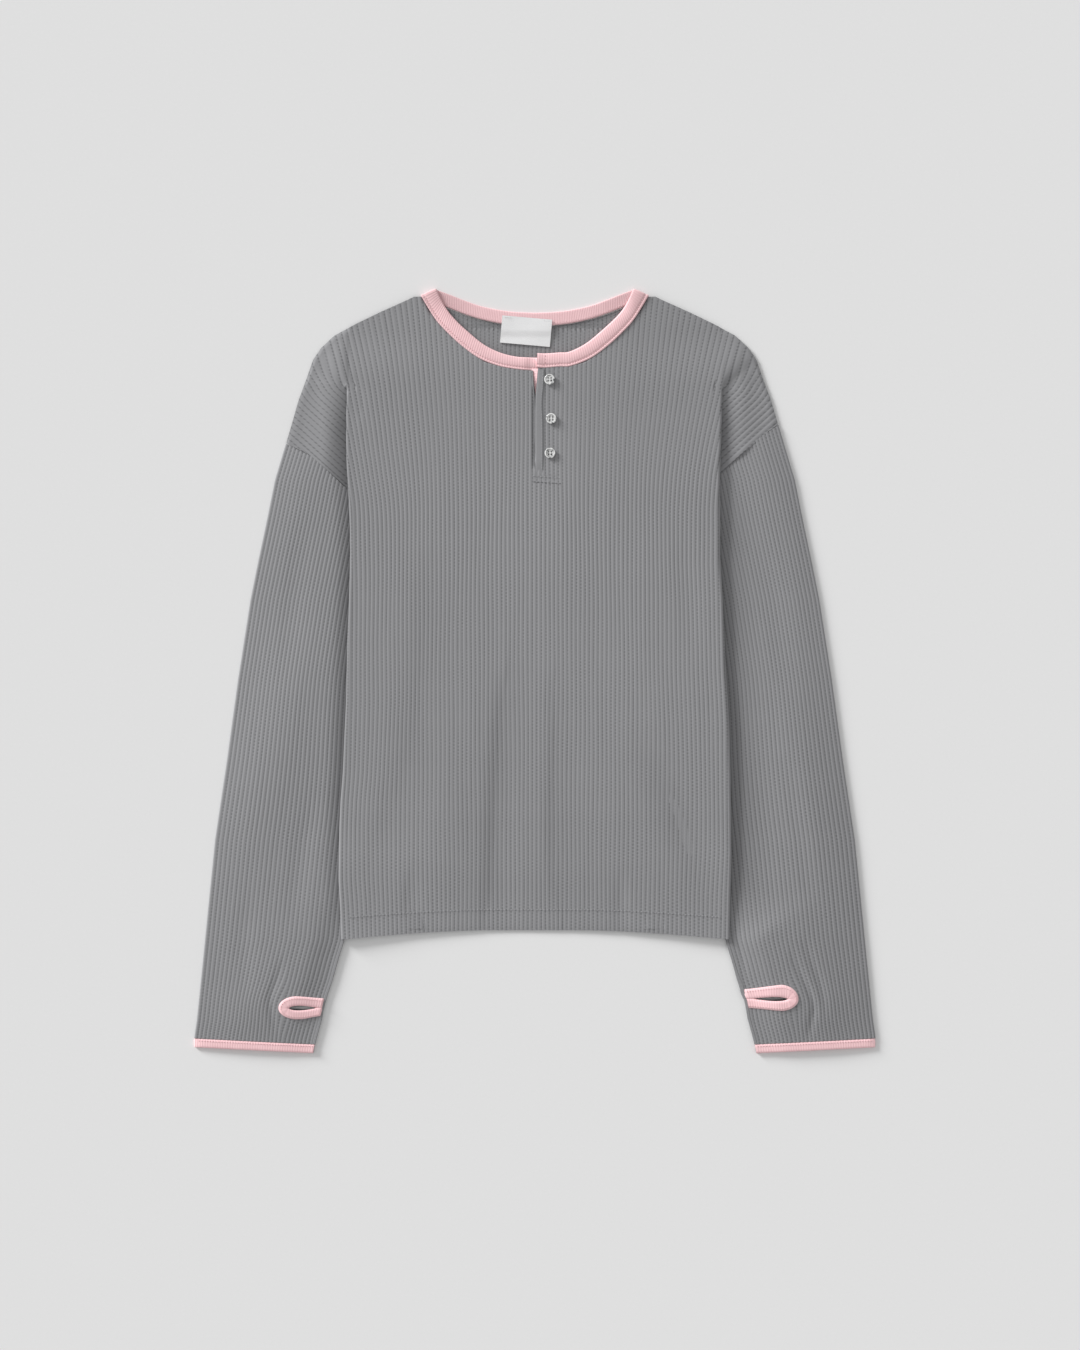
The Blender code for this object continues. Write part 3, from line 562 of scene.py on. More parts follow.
class Graph:
    """A material's nodes, added by one method."""

    def __init__(self, material: bpy.types.Material) -> None:
        """Finds the material's Principled shader."""
        material.use_nodes = True
        self.tree = material.node_tree
        self.shader = next(n for n in self.tree.nodes if n.type == "BSDF_PRINCIPLED")

    def node(
        self,
        kind: str,
        settings: Optional[dict[str, Any]] = None,
        inputs: Optional[dict[Union[int, str], Any]] = None,
        output: Union[int, str] = 0,
    ) -> Expr:
        """Adds a node.

        Args:
            kind: The node's type.
            settings: Its own settings.
            inputs: The values or links of its sockets, by number or name.
            output: Which of its outputs is wanted.

        Returns:
            The output as an expression.
        """
        node = self.tree.nodes.new(kind)
        for name, value in (settings or {}).items():
            setattr(node, name, value)
        self.feed(node, inputs or {})
        return Expr(self, node.outputs[output])

    def feed(self, node: bpy.types.Node, inputs: dict[Union[int, str], Any]) -> None:
        """Gives a node's sockets their values or links."""
        for name, value in inputs.items():
            if isinstance(value, Expr):
                self.tree.links.new(value.socket, node.inputs[name])
            else:
                node.inputs[name].default_value = value

    def look(self, colour: Expr, roughness: float, **others: Any) -> None:
        """Feeds the shader, whose other sockets are named with _ for each space."""
        sockets = {name.replace("_", " "): value for name, value in others.items()}
        self.feed(self.shader, {"Base Color": colour, "Roughness": roughness, **sockets})

    def split(self, vector: Expr) -> tuple[Expr, Expr]:
        """A vector's first two parts."""
        x = self.node("ShaderNodeSeparateXYZ", None, {"Vector": vector}, "X")
        return x, Expr(self, x.socket.node.outputs["Y"])

    def scale(self, vector: Expr, factor: Value) -> Expr:
        """A vector or a colour times a factor."""
        settings = {"operation": "SCALE"}
        return self.node("ShaderNodeVectorMath", settings, {0: vector, "Scale": factor})

    def cloth(self) -> tuple[Expr, Expr]:
        """The cloth's own coordinates in millimetres: across the ribs and along them."""
        return self.split(self.scale(self.node("ShaderNodeUVMap", {"uv_map": "Cloth"}), 1 / MM))

    def deeper(self, colour: Expr) -> Expr:
        """A cloth's colour, darker by its painted shade from the Dim layer, and paler where that is
        below 0, as painted light.
        """
        dim, _ = self.split(self.node("ShaderNodeUVMap", {"uv_map": "Dim"}))
        return self.scale(colour, 1.0 - dim)

    def place(self, output: str = "Object") -> Expr:
        """The point in the object's own coordinates."""
        return self.node("ShaderNodeTexCoord", None, None, output)

    def noise(self, scale: float, detail: float = 3.0, where: Optional[Expr] = None) -> Expr:
        """Even noise from 0 to 1."""
        inputs = {"Vector": where or self.place(), "Scale": scale, "Detail": detail}
        return self.node("ShaderNodeTexNoise", None, inputs, 0)

    def blend(self, share: Value, low: Colour, high: Colour) -> Expr:
        """A colour between two colours."""
        inputs = {0: share, 6: (*low, 1.0), 7: (*high, 1.0)}
        return self.node("ShaderNodeMix", {"data_type": "RGBA"}, inputs, 2)

    def bump(self, height: Expr, depth_mm: float) -> Expr:
        """A surface normal from a height that runs from 0 to 1."""
        inputs = {"Strength": 1.0, "Distance": depth_mm * MM, "Height": height}
        return self.node("ShaderNodeBump", None, inputs)


# ---------------------------------------------------------------- finishes


class Finish:
    """A named material, made once and put on pieces."""

    name, slot = "finish", "rib_knit"
    light: Colour = (0.281, 0.281, 0.290)
    dark: Colour = (0.162, 0.162, 0.168)

    def __init__(self) -> None:
        """Makes the material."""
        self.material = bpy.data.materials.new(self.name)
        self.paint(Graph(self.material))

    def paint(self, graph: Graph) -> None:
        """Adds the finish's nodes."""

    def dress(self, piece: bpy.types.Object) -> None:
        """Puts the finish on a piece."""
        piece.data.materials.clear()
        piece.data.materials.append(self.material)


class RibKnit(Finish):
    """Heathered grey rib with a ladder of small ticks in its grooves, painted shade in the grooves and
    a painted falloff of light.
    """

    name = "rib_knit_cloth"
    tick = 3.1
    loop = 0.95

    def paint(self, graph: Graph) -> None:
        """Adds the knit's colour and relief."""
        across, along = graph.cloth()
        groove = 1.0 - abs((across / CUT.rib).fract() - 0.5) * 2.0
        groove = (groove - 0.58).clamp() * 2.4
        every_other = (across / (2 * CUT.rib)).fract().above(0.5)
        rung = along.wave(self.tick, every_other * math.pi) ** 1.5
        fuzz, patch = graph.noise(900.0, 4.0), graph.noise(9.0, 2.0)
        drawn_out = graph.node("ShaderNodeCombineXYZ", None, {0: across * 0.35, 1: along * 0.012})
        streak = graph.noise(1.0, 2.0, drawn_out)
        ladder = (graph.noise(38.0, 2.0) - 0.36).clamp() * 3.2
        speck = (rung - 0.4) * (0.25 + 0.75 * groove) * (0.30 + ladder * 0.9)
        x, y = graph.split(graph.place())
        # painted light falloff: darker towards the bottom and to the right, a little paler overall
        painted_falloff = (y * -1.0).clamp() * 0.58 + x * 0.12 - 0.075
        # the grooves' darker colour, varying from rib to rib, is painted shade in the rib grooves
        shade = groove * (0.22 + streak * 1.35) - speck + (fuzz - 0.5) * 0.5
        shade = shade + (patch - 0.5) * 0.2 + painted_falloff
        colour = graph.deeper(graph.blend(shade.clamp(), self.light, self.dark))
        height = groove * rung * 0.45 + along.wave(self.loop) * 0.12 + fuzz * 0.35
        graph.look(colour, 0.92, Normal=graph.bump(height, 0.26), Specular_IOR_Level=0.25,
                   Sheen_Weight=0.15, Sheen_Roughness=0.5)


class FineRib(Finish):
    """Pale pink binding with a fine rib across it."""

    name, slot = "pink_fine_rib", "pink_binding"
    light = (0.93, 0.615, 0.635)
    dark = (0.73, 0.42, 0.445)
    pitch = 2.3

    def paint(self, graph: Graph) -> None:
        """Adds the binding's colour and relief."""
        _, along = graph.cloth()
        ribs = along.wave(self.pitch)
        fuzz, blotch = graph.noise(1100.0, 3.0), graph.noise(160.0, 3.0)
        # the colour darker between the fine ribs is painted shade
        shade = (1.0 - ribs) * 0.28 + (fuzz - 0.5) * 0.5 + (blotch - 0.5) * 0.5
        colour = graph.deeper(graph.blend(shade.clamp(), self.light, self.dark))
        graph.look(colour, 0.88, Normal=graph.bump(ribs * 0.7 + fuzz * 0.5, 0.14),
                   Specular_IOR_Level=0.25, Sheen_Weight=0.12, Sheen_Roughness=0.5)


class Jersey(Finish):
    """Plain grey jersey for the placket's band."""

    name, slot = "placket_jersey_cloth", "placket_jersey"
    dark = (0.180, 0.180, 0.186)
    wale, loop = 0.8, 0.9

    def paint(self, graph: Graph) -> None:
        """Adds the jersey's colour and relief."""
        across, along = graph.cloth()
        wales, loops = across.wave(self.wale), along.wave(self.loop)
        fuzz = graph.noise(1000.0, 4.0)
        # the colour darker between the wales and the loops is painted shade
        shade = (1.0 - wales * loops) * 0.3 + (fuzz - 0.5) * 0.6
        height = wales * 0.5 + loops * 0.3 + fuzz * 0.4
        graph.look(graph.blend(shade.clamp(), self.light, self.dark), 0.92,
                   Normal=graph.bump(height, 0.14), Specular_IOR_Level=0.25)


class Pearl(Finish):
    """Glossy pearly resin with soft swirls, and painted shade on its outer edge and round the foot of
    its rim.
    """

    name, slot = "pearl_resin_gloss", "pearl_resin"
    light = (0.84, 0.84, 0.83)
    dark = (0.06, 0.065, 0.07)

    def paint(self, graph: Graph) -> None:
        """Adds the resin's colour and gloss."""
        x, y = graph.split(graph.place("Generated"))
        radius = ((x - 0.5) ** 2.0 + (y - 0.5) ** 2.0) ** 0.5 * 2.0
        # painted shade: darker on the rim's outer roll and in a ring at the rim's foot
        rim = ((radius - 0.88) * 9.0).clamp()
        dish_shade = ((radius - 0.56) * 8.0).clamp() - ((radius - 0.66) * 8.0).clamp()
        cloud = graph.noise(480.0, 3.0)
        speckle = (cloud - 0.48) * (1.8 + ((radius - 0.48) * 5.0).clamp() * 2.4)
        speckle = speckle + (graph.noise(170.0, 1.0) - 0.5)
        shade = (speckle + 0.74).clamp() * (1.0 - rim * 0.5) * (1.0 - dish_shade * 0.55)
        graph.look(graph.blend(shade, self.dark, self.light), 0.16, Coat_Weight=0.6)


class Thread(Finish):
    """Matt sewing thread of one colour."""

    def __init__(self, name: str, slot: str, colour: Colour) -> None:
        """Makes the thread's material in its colour; the slot is kept but not used."""
        self.name, self.slot = name, slot
        self.light, self.dark = colour, tuple(part * 0.72 for part in colour)
        super().__init__()

    def paint(self, graph: Graph) -> None:
        """Adds the thread's colour and twist."""
        twist = graph.noise(3500.0, 2.0)
        graph.look(graph.blend(twist, self.dark, self.light), 0.75, Normal=graph.bump(twist, 0.08))


class Satin(Finish):
    """Blank white woven satin."""

    name, slot = "label_satin_cloth", "label_satin"
    light = (0.86, 0.86, 0.86)
    dark = (0.74, 0.74, 0.75)
    yarn = 0.35

    def paint(self, graph: Graph) -> None:
        """Adds the satin's colour and weave."""
        across, along = graph.cloth()
        weave = (across.wave(self.yarn) * 2.0 - 1.0) * (along.wave(self.yarn) * 2.0 - 1.0)
        shade = (weave * 0.25 + 0.5) * 0.4 + graph.noise(60.0, 2.0) * 0.3
        graph.look(graph.blend(shade, self.light, self.dark), 0.55,
                   Normal=graph.bump(weave * 0.5 + 0.5, 0.04), Sheen_Weight=0.2)


class PaleFloor(Finish):
    """The plain pale surface."""

    name = "pale_surface"
    light = (0.81, 0.81, 0.81)
    dark = (0.79, 0.79, 0.79)

    def paint(self, graph: Graph) -> None:
        """Adds the surface's even colour."""
        colour = graph.blend(graph.noise(400.0, 2.0), self.dark, self.light)
        graph.look(colour, 0.9, Specular_IOR_Level=0.1)


class Wardrobe:
    """Every finish, made once."""

    def __init__(self) -> None:
        """Makes the finishes."""
        self.knit, self.binding = RibKnit(), FineRib()
        self.jersey, self.pearl = Jersey(), Pearl()
        self.thread = Thread("grey_thread", "rib_knit", (0.40, 0.40, 0.41))
        # a darker copy of the grey thread, as painted shade for the lower box-stitch line
        self.shaded_thread = Thread("shaded_thread", "rib_knit", (0.20, 0.20, 0.205))
        self.dark_thread = Thread("dark_thread", "pearl_resin", (0.07, 0.07, 0.075))
        self.seam_thread = Thread("seam_thread", "pink_binding", (0.52, 0.27, 0.29))
        self.pink_thread = Thread("pink_thread", "pink_binding", (0.86, 0.55, 0.57))
        self.white_thread = Thread("white_thread", "label_satin", (0.80, 0.80, 0.79))
        self.satin, self.floor = Satin(), PaleFloor()


# ---------------------------------------------------------------- the front panel

SLIT = {
    # y, how far the slit's edge opens
    Side.LEFT: Table(((185.4, 0.0), (194.0, 0.5), (240.0, 0.7), (252.0, 1.3), (264.0, 2.3),
                      (276.5, 3.0))),
    Side.RIGHT: Table(((185.4, 0.0), (196.0, 0.9), (252.0, 1.6), (272.0, 3.4), (276.5, 4.2))),
}


@dataclass
class Front:
    """The front: its upper wall, the folds at its sides and the shoulder caps."""

    wardrobe: Wardrobe
    steps_a_rib: int = 7
    rows_below: int = 64
    rows_above: int = 22
    rib_depth: float = 0.33
    face: float = CUT.wall / 2 - 0.1
    fan_x: float = 165.0
    top_y: float = 344.4
    cap_x: float = 211.5
    crown: float = 1.5
    hem_drop: float = 0.7
    hem_lip: float = 0.3
    stitched_y: tuple[float, float] = (172.8, 180.4)
    tiles: tuple[tuple[float, float], ...] = ((0.0, 0.68), (0.70, 0.16), (0.88, 0.11))

    def height(self, x: Array, y: Array) -> Array:
        """The middle of the upper wall at places within the fold."""
        centre = STACK.cap + self.crown * rise(y, -40, 190)
        centre = centre - self.hem_drop * fall(y, CUT.hem_y + 60, 58)
        lip = self.hem_lip * fall(y, CUT.hem_y + 4, 4) * (1 - rise(np.abs(x), 110, 40))
        return centre + (STACK.top(y) - centre) * CUT.outward(x) - lip

    def cap(self, side: Side, x: Array, y: Array) -> Array:
        """The middle of the wall outside the fold, down to the outline."""
        slope = smooth((x - STACK.edge(y)) / (6 + 1.3 * np.maximum(0.0, y - CUT.apex_y)))
        below = fall(y, CUT.apex_y, 5)
        high = STACK.cap + (self.height(x, y) - STACK.cap) * (1 - slope) * (1 - below)
        inside = np.maximum(0.0, CUT.outline(y) - x)
        stand = 2.2 * rise(x, 174, 22)
        if side is Side.LEFT:
            stand = 4.2 * (1 - (1 - np.clip((x - 171) / 25, 0, 1)) ** 2)
        return high - 0.85 * (1 - smooth(inside / 3.0)) + stand * rise(inside, 1, 44)

    def upper_wall(self, side: Side, order: Array, y: Array) -> Array:
        """Points of the upper wall, the fold and the turned-under layer.

        Args:
            side: Which half.
            order: Where each rib line starts at the hem.
            y: How far up each point is.

        Returns:
            Points in millimetres on the right side.
        """
        u = CUT.rib_x(order, y)
        folded = CUT.folded(y)
        slit = SLIT[side](y) * (y > CUT.slit_base_y) * (y < CUT.neck_y)
        inner = np.maximum(u, np.maximum(self.neck(y), slit))
        u = np.where(~folded & (u > self.fan_x), FAN(order, y), inner)
        edge, radius = STACK.edge(y), STACK.fold_radius(y)
        arc = math.pi * radius
        u = np.where(folded, np.minimum(u, edge + arc + CUT.side_fold(y, 2)), u)
        lie = DRAPE(side.value * np.where(folded, np.minimum(u, edge), u), y)
        angle = np.where(folded, np.clip((u - edge) / radius, 0, math.pi), 0.0)
        turned = folded & (u > edge)
        x = np.where(turned, edge + radius * np.sin(angle), u)
        x = np.where(folded & (u > edge + arc), edge - (u - edge - arc), x)
        flat_z = np.where(u > edge, self.cap(side, u, y), self.height(u, y))
        z = np.where(turned, STACK.under(y) + radius * (1 + np.cos(angle)), flat_z)
        z = z + lie * np.where(turned, np.maximum(np.cos(angle), 0), 1.0)
        ribs = rib_profile(order, self.rib_depth) * self.fullness(side, u, y)
        move = self.face + ribs * (1 - self.pressed(side, u, y))
        move = move - 1.7 * smooth((CUT.neck_x(y) - u + 0.2) / 1.6) * (y > CUT.neck_y)
        drop = CUT.corner_drop * np.clip((x - 45) / 133, 0, 1) ** 1.55
        low = fall(y, CUT.hem_y + 90, 90)
        x = x + FOLD_SWAY[side](y) * rise(x, 80, 80) * folded
        if side is Side.LEFT:
            z = z - 0.9 * fall(u, 3.4, 2.6) * (y > CUT.slit_base_y + 4) * (y < 262)
        else:
            y = y + 2.6 * rise(y, 268, 8.5) * (1 - rise(x, 18, 16))
        z = np.maximum(z + np.cos(angle) * move, 0.0)
        return at(x + np.sin(angle) * move, y - drop * low, z)

    def neck(self, y: Array) -> Array:
        """The neckline with an allowance that lies under the binding."""
        return CUT.neck_x(np.where(y > CUT.neck_y, np.maximum(y - 1.8, CUT.neck_y), y))

    def pressed(self, side: Side, x: Array, y: Array) -> Array:
        """How flat the ribs are pressed between the lines of the box stitch."""
        across = smooth(((24 if side is Side.RIGHT else 3) - x) / 3)
        low, high = self.stitched_y
        return 0.5 * across * rise(y, low, 1.0) * fall(y, high, 1.2)

    def fullness(self, side: Side, u: Array, y: Array) -> Array:
        """How full the ribs are: stretched flat on the right of the chest."""
        full = 0.9 + 0.32 * bell(y, 130, 75) + 0.1 * bell(y, -10, 90)
        high = rise(y, 170, 60)
        if side is Side.RIGHT:
            return full - high * (0.2 * rise(u, 10, 60) + 0.12 * rise(y, 270, 50))
        return full + 0.16 * high * rise(u, 80, 50)

    def painted_shading(self, side: Side, u: Array, y: Array) -> Array:
        """The painted shade and painted light at places on the upper wall."""
        # painted shade along the fold's edge
        fold = bell(u - STACK.edge(y), 1.5, 3.2) * (y < CUT.apex_y - 8)
        if side is Side.RIGHT:
            # painted shade over the right of the chest
            chest = 0.05 * smooth(u / 90) * rise(y, 90, 80)
            return 0.05 * fold + chest + DRAPE.painted_shading(u, y)
        low = fall(y, -50, 110)
        # painted light low on the left, darker in a band near 62 mm across
        pale = low * (1 - 1.2 * bell(u, 62, 24)) * rise(u, 8, 10)
        return (0.20 - 0.07 * low) * fold - 0.05 * pale + DRAPE.painted_shading(-u, y)

    def top_of(self, order: Array) -> Array:
        """How far up each rib line reaches before the neck or the shoulder."""
        y, order = np.broadcast_arrays(np.arange(CUT.apex_y, 346.0, 0.2), order[:, None])
        x = CUT.rib_x(order, y)
        x = np.where(x > self.fan_x, FAN(order, y), x)
        inside = (x <= CUT.outline(y)) & (x >= self.neck(y) * (y > CUT.neck_y)) & (y < self.top_y)
        return y[0, np.maximum(np.argmin(inside, axis=1) - 1, 0)]

    def put(
        self,
        cloth: ClothMesh,
        side: Side,
        points: Array,
        order: Array,
        y: Array,
        tile: int,
        keep: Optional[Array] = None,
        dim: Real = 0.0,
    ) -> None:
        """Adds a half's grid in its own tile of the bake."""
        low, tall = self.tiles[tile]
        place = (side.bake_x, low, 0.49, tall)
        own = at(order * side.value, y)
        cloth.grid(side.turn(points), own, place, keep, side is Side.LEFT, dim)

    def add_upper(self, cloth: ClothMesh, side: Side) -> None:
        """Adds one half of the upper wall, below the fold's apex and then above it."""
        fine = np.arange(0, 189.6, CUT.rib / self.steps_a_rib)
        order = np.concatenate([fine, np.linspace(fine[-1] + 4, 240, 9)])
        rows = np.concatenate([
            CUT.hem_y + np.array([0.0, 0.25, 0.9, 2.2]),
            np.linspace(CUT.hem_y + 4, 170.0, self.rows_below),
            [171.6, 172.8, 173.8, 176.4, 179.2, 180.4, 182.0, CUT.slit_base_y, 189.6],
            np.linspace(194.0, CUT.apex_y, 20),
        ])
        y, order = np.meshgrid(rows, order, indexing="ij")
        u = CUT.rib_x(order, y)
        limit = STACK.edge(y) + math.pi * STACK.fold_radius(y) + CUT.side_fold(y, 2)
        gone = (u > limit) & CUT.folded(y) & (order < 200)
        keep = ~(gone[:-1, :-1] | gone[:-1, 1:] | gone[1:, 1:] | gone[1:, :-1])
        keep &= ~((y[1:, 1:] > CUT.apex_y - 8) & (order[1:, 1:] > 189))
        tops = self.top_of(fine)
        shown = tops > CUT.apex_y + 0.3
        t = np.linspace(0, 1, self.rows_above)[:, None]
        above_y = CUT.apex_y + t * (tops[shown] - CUT.apex_y)
        above = np.broadcast_to(fine[shown], above_y.shape)
        for tile, (o, ys, kept) in enumerate(((order, y, keep), (above, above_y, None))):
            dim = self.painted_shading(side, CUT.rib_x(o, ys), ys)
            self.put(cloth, side, self.upper_wall(side, o, ys), o, ys, tile, kept, dim)

    def add_cap(self, cloth: ClothMesh, side: Side) -> None:
        """Adds one shoulder cap, from under the fold out to the armhole."""
        order = np.arange(0, 340, CUT.rib / self.steps_a_rib)
        y = np.linspace(CUT.armpit_y, CUT.apex_y, 622)
        x = FAN(*np.broadcast_arrays(order[:, None], y))
        hidden = np.maximum(FAN.apex_x - 20, STACK.nose(y) + 1.0)
        inside = (x >= hidden) & (x <= CUT.armhole_x(side, y))
        inside[:, -1] |= (x[:, -1] >= STACK.edge(CUT.apex_y)) & (x[:, -1] <= self.cap_x)
        some = inside.sum(axis=1) > 4
        order, inside = order[some], inside[some]
        low = y[np.argmax(inside, axis=1)]
        high = y[len(y) - 1 - np.argmax(inside[:, ::-1], axis=1)]
        grid_y = low + np.linspace(0, 1, 26)[:, None] * (high - low)
        order = np.broadcast_to(order, grid_y.shape)
        x = FAN(order, grid_y)
        z = self.cap(side, x, grid_y) + self.face + rib_profile(order, self.rib_depth)
        z = z + DRAPE(side.value * x, grid_y)
        # painted shade on the cap: an even amount, and darker near the fold below its apex
        painted_shading = (1 - rise(x, 172, 26)) * fall(grid_y, CUT.apex_y - 4, 40) * 0.25
        dim = 0.05 + painted_shading if side is Side.LEFT else 0.02 + painted_shading * rise(grid_y, 165, 50)
        self.put(cloth, side, at(x, grid_y, z), order, grid_y, 2, None, dim)

    def build(self) -> None:
        """Makes the front in place of its solid."""
        cloth = ClothMesh("front_cloth")
        for side in Side:
            self.add_upper(cloth, side)
            self.add_cap(cloth, side)
        piece = cloth.build(self.wardrobe.knit, CUT.wall)
        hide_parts("front")

    def surface(self, side: Side, x: Array, y: Array) -> Array:
        """The height of the front's face, ribs included, at places on it."""
        return self.height(x, y) + DRAPE(side.value * x, y) + self.face + self.rib_depth


# ---------------------------------------------------------------- the back panel


@dataclass
class Back:
    """The back: seen inside the neck, from beneath and between the folds' layers."""

    wardrobe: Wardrobe
    rows: int = 44
    upper_rows: int = 52
    columns: int = 216
    rib_depth: float = 0.35
    hem_y: float = -236.5
    top_y: float = 343.4
    parting_y: float = 98.0
    rim: float = 0.35
    face: float = -0.30

    def build(self) -> None:
        """Makes the back in place of its solid."""
        cloth = ClothMesh("back_cloth")
        for side in Side:
            for upper in (True, False):
                self.add_half(cloth, side, upper)
        piece = cloth.build(self.wardrobe.knit, 0.0)
        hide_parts("back")

    def reach(self, side: Side, y: Array) -> Array:
        """How far out the back reaches at heights up the shirt."""
        root = STACK.nose(y) - 3
        below = root + (STACK.edge(y) - 8 - root) * fall(y, self.parting_y, 26)
        return np.where(y > CUT.armpit_y, CUT.armhole_x(side, y), below)

    def add_half(self, cloth: ClothMesh, side: Side, upper: bool) -> None:
        """Adds one half's inner or outer face."""
        y, share = np.meshgrid(
            np.concatenate([np.linspace(self.hem_y, CUT.armpit_y, self.rows),
                            np.linspace(CUT.armpit_y + 1.0, self.top_y, self.upper_rows)]),
            np.linspace(0, 1, self.columns), indexing="ij")
        first = np.where(y > CUT.neck_base_y, CUT.neck_back(y), 0.0)
        last = self.reach(side, y)
        x = first + share * (last - first)
        end = STACK.nose(y) - 3
        lift = fall(y, CUT.armpit_y, 40) * smooth((x - end + 38) / 38)
        hem = fall(y, CUT.hem_y + 74, 60)
        bottom = (4.65 - 1.75 * hem) * np.where(y < CUT.armpit_y, lift, 0.0)
        thick = CUT.wall + 0.8 * rise(x, end, 12) * (y < self.parting_y) * (1 - hem)
        rounded = self.rim * (1 - fall(x, last, 1.2))
        ribs = rib_profile(x, self.rib_depth)
        z = bottom + rounded - self.face - ribs * 0.85
        if upper:
            z = bottom + thick - rounded + self.face + ribs
        thin = 1 - 0.7 * fall(y, CUT.hem_y + 50, 46) * (1 - rise(x, 70, 30))
        # painted shade inside the neck, darker next to the front and back bindings
        under_front = 1 - smooth((y - CUT.neck_front(x, 0, 1) - 5) / 20)
        under_back = 1 - smooth((CUT.neck_back(x, 0, 1) - y) / 9)
        dim = rise(y, 268, 8) * (0.04 + 0.13 * np.maximum(under_front, under_back))
        place = (side.bake_x, 0.5 if upper else 0.0, 0.49, 0.49)
        points = side.turn(at(x, y, np.maximum(z * thin, 0.0)))
        cloth.grid(points, at(x, y), place, None, (side is Side.LEFT) == upper, dim)


# ---------------------------------------------------------------- the sleeves


@dataclass(frozen=True)
class Thumbhole:
    """A bound slit that runs round a sleeve's inner edge.

    The gap is half the slit's opening, and wrap how far past the sleeve's edge the binding
    reaches, below 0 where it stops short.
    The pairs are for the binding's arm above the slit and the arm below it: how much wider
    it is than the band at the slit's end and at the edge, and where it starts to narrow.
    """

    middle_y: float
    slit_x: float
    far_x: float
    gap: float
    wrap: float
    swell: tuple[float, float]
    end: tuple[float, float]
    taper_from: tuple[float, float]
    height: float = 5.2
    band: float = 8.0


THUMBHOLES = {
    Side.LEFT: Thumbhole(-309.2, 225.6, 235.5, 2.1, -0.3, (2.9, 2.3), (0.7, -0.4), (0.2, 0.4)),
    Side.RIGHT: Thumbhole(-300.8, 232.0, 242.2, 1.8, -1.2, (5.3, 3.0), (0.7, 0.6), (0.1, 0.1)),
}


@dataclass(frozen=True)
class Lie:
    """How one sleeve lies: its dips and troughs, and where its colour gets painted shade and light.

    The valley runs beside the body's fold and starts a little off it. Steep is the share of
    its quicker rise, slack how much lower the crown is down the arm, dip how far the inner
    edge dips in, and low_ribs how much flatter the ribs are down the arm. The last five set the
    painted shade and painted light: how much darker or paler the colour is, and where.
    """

    creases: tuple[Crease, ...]
    valley: float
    start: float
    steep: float
    slack: float
    dip: float
    low_ribs: float
    painted_shading: float
    shade_reach: float
    shade_rows: tuple[float, float]
    pale: float
    beneath: float


LIES = {
    Side.LEFT: Lie(
        (
            Crease(((-232, -268), (-240, -300), (-236, -330)), 4, 0.7),
            Crease(((-262, -210), (-268, -250), (-266, -290)), 9, 0.5),
            Crease(((-214, 120), (-222, 60), (-226, 0)), 12, 0.5),
            Crease(((-205, -120), (-214, -170), (-222, -225)), 9, 0.6),
        ),
        valley=26.0, start=-2.0, steep=1.0, slack=0.3, dip=0.0, low_ribs=0.15,
        painted_shading=0.10, shade_reach=14.0, shade_rows=(-190.0, 110.0), pale=0.035, beneath=0.25,
    ),
    Side.RIGHT: Lie(
        (
            Crease(((236, -262), (247, -290), (254, -309), (251, -336)), 3.4, 1.0),
            Crease(((248, -250), (260, -285), (265, -312)), 4.5, 0.8),
            Crease(((184, -236), (190, -262), (194, -284)), 3, 0.9),
            Crease(((214, 110), (224, 50), (232, -20)), 12, 0.6),
            Crease(((232, -90), (244, -150), (250, -210)), 10, 0.5),
        ),
        valley=80.0, start=2.0, steep=0.0, slack=0.0, dip=1.6, low_ribs=0.0,
        painted_shading=0.16, shade_reach=46.0, shade_rows=(-235.0, 40.0), pale=0.0, beneath=0.0,
    ),
}


